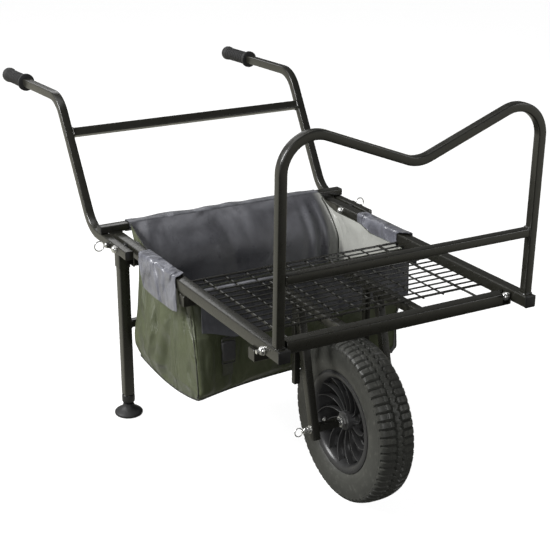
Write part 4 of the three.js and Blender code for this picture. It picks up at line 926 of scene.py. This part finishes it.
def side_fold(side, s, f, z, inside):
    """Folds in a side wall at share s of its length from the front: it bulges, and is pinched near its front seam."""
    d = (5.5 * math.sin(math.pi * s) + 5.0 * ramp(s, 0.3, 0.9)) * math.sin(math.pi * f)
    d += (3.0 * math.sin(math.pi * s) + 8 * ramp(s, 0.45, 0.95)) * bell(f - 0.16, 0.16)
    d += 4.6 * ripple(3 + side, s * 300, z * 0.45, 0.03) * inside
    d += 15.2 * math.sin((s * 5.2 + (1 - f) * 1.1) * math.pi) * (1 - f) * f * inside
    seam = ramp(s, 0.004, 0.05)
    d -= 11 * seam * bell(s - 0.16 - 0.12 * (0.72 - f), 0.028) * bell(f - 0.63, 0.2)
    d -= 9 * seam * bell(s - 0.07 - 0.35 * abs(f - 0.6), 0.035) * bell(f - 0.6, 0.17)
    if side == 1:
        for at, depth in ((0.97, -7), (0.93, 5), (0.9, -5), (0.86, 4), (0.82, -3)):
            d += depth * bell(s - at + 0.03 * f, 0.014) * ramp(f, 0.3, 0.6)
        return d
    run = s - 0.045 - 0.16 * ramp(f, 0.45, 1.0)
    d += 5 * bell(run - 0.06, 0.03) * ramp(f, 0.35, 0.7) - 9 * bell(run, 0.022) * ramp(f, 0.4, 0.6)
    for tall, reach in ((0.52, 0.2), (0.36, 0.14), (0.68, 0.16)):
        d -= 6 * bell(f - tall - 0.5 * s, 0.022) * ramp(reach - s, 0, reach) * seam
    for depth, at, lean, wide in ((5, 0.52, 0.3, 0.05), (-6, 0.4, 0.34, 0.045), (-5, 0.61, 0.1, 0.04)):
        d += depth * bell(s - at + lean * (f - 0.5), wide)
    return d


def bag_fold(u, f, z):
    """How far the cloth stands out from its smooth outline at u and height share f: folds, sags and creases."""
    side, s = place_on(u)
    inside = math.sin(math.pi * s) ** 0.5
    if side in (1, 3):
        return side_fold(side, s if side == 1 else 1 - s, f, z, inside)
    if side == 0:
        d = 3.4 * ripple(1, s * 540, z * 0.6, 0.022) * inside
        for depth, at, lean, wide, tall, spread in (
                (12, 0.052, 0.0, 0.026, 0.4, 0.33), (-5, 0.105, 0.05, 0.02, 0.45, 0.3), (5, 0.17, -0.08, 0.03, 0.35, 0.3),
                (-7, 0.22, 0.1, 0.025, 0.35, 0.3), (6, 0.3, 0.18, 0.035, 0.3, 0.25), (-5, 0.45, -0.1, 0.03, 0.3, 0.25)):
            d += depth * bell(s - at - lean * (f - 0.5), wide) * bell(f - tall, spread)
        return d
    d = 8.5 * ripple(5, s * 540, z * 1.3, 0.014) * inside
    d += 4.5 * ripple(9, s * 540, z * 1.6, 0.03) * inside * ramp(f, 0.15, 0.5)
    for at, depth in ((0.012, -6), (0.035, 8), (0.06, -8), (0.09, 7), (0.125, -5), (0.16, 3.5)):
        d += depth * bell(s - at + 0.05 * (f - 0.6), 0.013) * ramp(f, 0.3, 0.55)
    return d


def bag_parameters():
    """The values of u at which the bag has points: closer together at its corners."""
    us = []
    edge = [0.004, 0.012, 0.022, 0.034, 0.048]
    for side in range(4):
        middle = side + 0.06 + 0.88 * np.linspace(0, 1, 84 if side in (0, 2) else 60)
        us += [side, *(side + e for e in edge), *middle, *(side + 1 - e for e in edge[::-1])]
    return us


def hanging(u):
    """How far the bottom edge sags below its seams at u."""
    side, s = place_on(u)
    if side == 0:
        return 0.0
    if side == 2:
        return 24 * math.sin(0.8 * math.pi) + 3 * math.sin(math.pi * s)
    return 24 * math.sin(0.8 * math.pi * (s if side == 1 else 1 - s) ** 0.85)


def bag_point(u, f):
    """A point on the cloth at u and height share f. The cloth keeps off the rails and the tubes."""
    side = place_on(u)[0]
    bottom = BAG_BOTTOM - hanging(u)
    z = bottom + (bag_top(u) - bottom) * f
    x, y, _ = bag_ring(u, max(z, BAG_BOTTOM))
    d = bag_fold(u, f, z) * ramp(f, 0.0, 0.05) * (1 - ramp(f, 0.92, 1.0))
    if side in (1, 3):
        x = math.copysign(min(abs(x) + d, BESIDE + 14 * ramp(400 - z, 0, 110)), x)
    elif side == 0:
        y = max(y - d, BEFORE) if z < 345 else max(y - d * 0.6, min(FRONT_TOP, 402.5 + (z - 340) * 0.33))
    else:
        y += d if d < 0 else d * (1 - ramp(z, 370, 402))
        y = min(y, BEHIND) if z < 436 else y
    return v(x, y, z)


def bag_shell():
    """One lofted shell of cloth: olive outside, grey coated inside, closed below by a sagging bottom."""
    us = bag_parameters()
    grid = np.array([[bag_point(u, j / (BAG_ROWS - 1)) for u in us] for j in range(BAG_ROWS)])
    middle = v(0, 566, BAG_BOTTOM - 22)
    rounding = []
    for t in np.linspace(0, 1, 16)[1:]:
        ring = grid[0] * (1 - t) + middle * t
        ring[:, 2] += -5 * math.sin(math.pi * t) + 1.6 * t * np.array([ripple(7, q[0], q[1], 0.03) for q in ring])
        rounding.append(ring)
    s = Shape().rings(rounding[::-1] + list(grid), caps=False)
    obj = s.build("bag_shell", OLIVE, "frame", ["bag_body"], sharp=180, more=(LINING,))
    thicken(obj, offset=-1, inner=1)
    piping(us, grid)


def thicken(obj, offset=0, inner=0):
    """Gives a sheet its thickness. inner is the material slot of its other face."""
    mod = obj.modifiers.new("thickness", "SOLIDIFY")
    mod.thickness, mod.offset, mod.material_offset, mod.use_even_offset = CLOTH, offset, inner, False
    mesh = bpy.data.meshes.new_from_object(obj.evaluated_get(bpy.context.evaluated_depsgraph_get()))
    obj.modifiers.clear()
    obj.data = mesh


def grid_sheet(rows, name, material, replaced):
    """A sheet of cloth from rows of points."""
    n = len(rows[0])
    corners = [i * n + k for i in range(len(rows) - 1) for k in range(n - 1)]
    s = Shape().add(rows, [[a, a + 1, a + 1 + n, a + n] for a in corners])
    obj = s.build(name, material, "frame", [replaced], sharp=180)
    thicken(obj)
    return obj


def along_path(corners, radii, n):
    """Evenly spaced points on a bent path."""
    pts = np.array(bent([v(*c) for c in corners], radii, 12)[0])
    return points_at(pts, np.linspace(0, lengths(pts)[-1], n + 1))


def side_flaps():
    """Coated flaps folded loosely over the rails and hanging outside, flared at the hem like an open sleeve."""
    for name, side in (("right", 1), ("left", -1)):
        rows = []
        for sy in np.linspace(0, 1, 76):
            mouth = bell(sy, 0.07)
            lift = 481.4 + 0.7 * ripple(5 + side, 430 + 200 * sy, 3, 0.04) + 1.6 * bell(sy, 0.1)
            hem = 24 * ramp(sy, 0.7, 1) * ramp(sy, 0.9, 1) + 4 * mouth - 4 * math.sin(math.pi * min(1, sy * 1.15))
            row = []
            path = [(273.6, 0, 442), (273.6, 0, lift), (302.8, 0, lift), (302.8, 0, 406)]
            for x, _, z in along_path(path, [4.0, 4.6], 62):
                down = ramp(482 - z, 4, 74) if x > 295 else 0.0
                front = 438 - 14 * down if x > 295 else 438 + 0.8 * (295 - x)
                y = front + (629 - 9 * down ** 3 - front) * sy
                if x < 282 and z < 480:
                    y = max(y, 460 + (y - 438) * 0.02)
                wave = math.sin(y * 0.15 + z * 0.03 + 1.5 * math.sin(y * 0.05)) * math.sin(math.pi * min(1, down + 0.15))
                fold = 0.8 * ripple(side + 4, y * 1.5, z * 0.4, 0.05) + wave
                row.append(v(side * (x + down * (2.8 + 2.0 * fold + 2.2 * mouth)), y, z + down * hem))
            rows.append(row if side > 0 else row[::-1])
        obj = grid_sheet(rows, "side_flap_" + name, GREY, "side_collar_" + name)


def rear_flap():
    """The coated lining carried on over the rear bar and hanging behind it."""
    rows = []
    for x in np.linspace(-257, 257, 130):
        row = []
        for _, y, z in along_path([(0, 787.0, 481), (0, 787.0, 497.8), (0, 815.4, 497.8), (0, 815.4, 468)], [3.5, 4], 34):
            lift = 1.5 * ripple(2, x, y, 0.045) + 0.9 * math.sin(x * 0.075 + 1.5 * math.sin(x * 0.021))
            lift *= ramp(y, 788, 800) if z > 493 else 0
            back = ramp(497 - z, 4, 28) if y > 812 else 0
            row.append(v(x, y + back * (1.8 + 2.2 * ripple(6, x, z, 0.05)), z + lift + back * 2.4 * ripple(12, x, 0, 0.03)))
        rows.append(row)
    obj = grid_sheet(rows, "rear_flap", FLAP, "rear_collar")


def front_flap():
    """The coated flap folded over the middle tube and hanging in front of the bag, gathered into loose folds."""
    rows = []
    for x in np.linspace(-262, 269, 130):
        hem = np.interp(x, [-272, -250, -182, -100, 40, 272], [362, 357, 337, 340, 343, 350]) + 2.0 * ripple(13, x, 0, 0.03)
        row = []
        for _, y, z in along_path([(0, 428.5, 438), (0, 428.5, 451.4), (0, 400.4, 451.4), (0, 400.4, hem)], [2.6, 3], 60):
            down = ramp(424 - z, 0, 60) if y < 402 else 0.0
            fold = abs(ripple(11, x * 1.3, z * 0.45, 0.034)) + 0.4 * abs(math.sin(x * 0.06 + z * 0.03))
            row.append(v(x, y - down * 3.4 * fold, z))
        rows.append(row)
    obj = grid_sheet(rows, "front_flap", FLAP, "front_collar")


def strap():
    """Webbing and a side-release buckle on the front of the bag."""
    x, buckle_y = -200.0, 397.6
    line = np.array([(x, 403.0 - 1.5 * math.sin(t * 3.1), 338 - 90 * t) for t in np.linspace(0, 1, 24)])
    section = rounded_rect(25, 1.8, 0.81, 2)
    s = Shape().rings([lay(section, p, *across(d, X)) for p, d in zip(line, headings(line))])
    body = []
    for z, w, t in ((330, 26, 5), (328, 33, 8.4), (316, 34, 9), (306, 31, 8.6), (300, 33, 9), (290, 33, 8.6), (286, 27, 5)):
        body.append(lay(rounded_rect(w, t, t * 0.4, 3), v(x, buckle_y - 1, z), X, Y))
    s.rings(body, tag=1)
    corners = [[math.copysign(abs(c) ** 0.4, c) for c in (math.cos(a), math.sin(a))] for a in angles(24)]
    for z in (333, 283):
        wire_ring(s, v(x, buckle_y, z), [v(15.5 * a, 0, 4.5 * b) for a, b in corners], 1.3, 6, tag=1)
    s.put("bag_strap", "webbing", WEBBING, more=(HUB_PLASTIC,))


def piping(us, grid):
    """Sewn edge tape on the bag: its corners, its bottom edges and the free edges of its side walls."""
    s = Shape()

    def along(points, radius, push):
        """Tape through points pushed aside, without those that lie too close together."""
        line = np.array(points) + push
        keep = [line[0]]
        for p in line[1:]:
            if np.linalg.norm(p - keep[-1]) > 2.5:
                keep.append(p)
        wire(s, keep, radius)

    front_left, front_right, rear_right, rear_left = (us.index(side) for side in range(4))
    for column in (front_left, front_right):
        along(grid[1:58, column], 1.6, (0, -0.3, 0))
    for column, inward in ((rear_right, -2.4), (rear_left, 2.4)):
        along(grid[8:74, column], 1.9, (inward, -2.4, 0))
    for a, b in ((front_right, rear_right), (rear_left, len(us))):
        along(grid[0, a:b], 1.5, (0, 0, -0.5))
        along([p for p in grid[-1, a:b] if 632 < p[1] < 783], 1.1, (0, 0, 0.4))
    along(grid[0, front_left:front_right], 1.4, (0, -0.3, -0.3))
    s.build("bag_piping", PIPING, "frame")


# ---------------------------------------------------------------- stage, light and camera
def stage():
    """A plain pale floor. The camera sees the white world through it with the trolley's soft shadow, so a leg pulled
    out below it stays in view. To glossy rays it glows in a soft gradient, a painted reflection that the paint mirrors,
    and it throws little light back."""
    bpy.ops.mesh.primitive_plane_add(size=60, location=(0, 0, -0.0005))
    floor = bpy.context.object
    floor.name = "floor"
    material = bpy.data.materials.new("floor")
    material.use_nodes = True
    nodes = material.node_tree.nodes
    n = Nodes(material.node_tree)
    nodes.remove(nodes["Principled BSDF"])
    x, y, _ = n.split()
    # painted reflection: for glossy rays only, the floor glows, brighter towards the back left and far out to the right
    behind = n.math("SUBTRACT", n.math("MULTIPLY", y, 0.87), n.math("MULTIPLY", x, 0.5))
    beside = n.math("SUBTRACT", x, n.math("MULTIPLY", y, 0.1))
    bright = n.math("MAXIMUM", n.span(behind, -0.55, 0.35, 0.03, 0.56), n.span(beside, 0.75, 1.7, 0.0, 0.5))
    reflected_glow = n.add("ShaderNodeEmission", {"Color": (1, 0.98, 0.84), "Strength": bright})
    paper = n.add("ShaderNodeBsdfDiffuse", {"Color": n.mix(n.noise(6, 3), (0.27, 0.27, 0.27), (0.3, 0.3, 0.298))})
    clear = n.add("ShaderNodeBsdfTransparent", {"Color": (0.94, 0.94, 0.94)})
    seen = n.add("ShaderNodeAddShader", {0: paper.outputs[0], 1: clear.outputs[0]})
    dim = n.add("ShaderNodeBsdfDiffuse", {"Color": (0.16, 0.16, 0.16)})
    path = n.add("ShaderNodeLightPath").outputs
    surface = n.shade(path["Is Glossy Ray"], dim.outputs[0], reflected_glow.outputs[0])
    surface = n.shade(path["Is Camera Ray"], surface, seen.outputs[0])
    n.feed(nodes["Material Output"].inputs["Surface"], surface)
    floor.data.materials.append(material)


# Name, place, target, size in metres and power in watts
LIGHTS = (("left", (-2.8, 0.7, 2.3), (0, 0.1, 0.4), (1.2, 1.4), 165),
          ("top", (-0.5, 0.5, 3.2), (0, 0, 0.3), (2.4, 2.4), 20),
          ("front", (-1.3, -3.3, 1.5), (0, 0, 0.35), (1.2, 1.4), 24),
          ("right", (2.4, -3.0, 1.5), (0.2, 0, 0.4), (0.9, 1.4), 14),
          ("back", (0.2, 3.4, 2.2), (0, 0, 0.5), (2.4, 1.4), 16))


def lights():
    """A studio world, white to the camera and dim to all else, and five soft lights."""
    scene = bpy.context.scene
    world = scene.world = bpy.data.worlds.new("studio")
    world.use_nodes = True
    n = Nodes(world.node_tree)
    dim = world.node_tree.nodes["Background"]
    n.feed(dim.inputs["Color"], (1, 1, 1))
    n.feed(dim.inputs["Strength"], 0.09)
    white = n.add("ShaderNodeBackground", {"Color": (1, 1, 1), "Strength": 1.0})
    path = n.add("ShaderNodeLightPath").outputs
    surface = n.shade(path["Is Camera Ray"], dim.outputs[0], white.outputs[0])
    n.feed(world.node_tree.nodes["World Output"].inputs["Surface"], surface)
    for name, location, target, size, power in LIGHTS:
        data = bpy.data.lights.new(name, "AREA")
        data.shape = "RECTANGLE"
        data.size, data.size_y = size
        data.energy = power
        obj = bpy.data.objects.new(name, data)
        scene.collection.objects.link(obj)
        obj.location = location
        obj.rotation_euler = (Vector(target) - Vector(location)).to_track_quat("-Z", "Y").to_euler()
    scene.view_settings.view_transform = "Standard"
    scene.view_settings.look = "None"
    scene.view_settings.exposure = 0.0
    scene.view_settings.gamma = 1.0


# The photograph's camera in the level frame: its place, its axes and its focal length in pixels of a 550 wide frame
CAMERA_AT = (-1336.92092435, -1849.59307623, 1413.89642891)
CAMERA_AXES = ((0.87356221, -0.48671251, 0.0), (0.16903999, 0.30339665, 0.93775048),
               (-0.45641489, -0.81918337, 0.34730973))
FOCAL_PIXELS, FRAME_PIXELS, SENSOR = 1270.3411660328168, 550, 36


def camera():
    data = bpy.data.cameras.new("camera")
    data.sensor_width = SENSOR
    data.sensor_fit = "HORIZONTAL"
    data.lens = FOCAL_PIXELS / FRAME_PIXELS * SENSOR
    data.clip_end = 100
    obj = bpy.data.objects.new("camera", data)
    bpy.context.scene.collection.objects.link(obj)
    rotation = Matrix(tipped(CAMERA_AXES, STAND).tolist()).transposed().to_4x4()
    obj.matrix_world = Matrix.Translation(Vector(to_part(CAMERA_AT)[0])) @ rotation
    bpy.context.scene.camera = obj


for make in (camera, side_rails, front_rest, deck, cross_tubes, leg_sleeves, bolts, lock_pins, fork, axle, tyre, rim,
             hub_fittings, handles, legs, bag_shell, side_flaps, rear_flap, front_flap, strap, stage, lights):
    make()
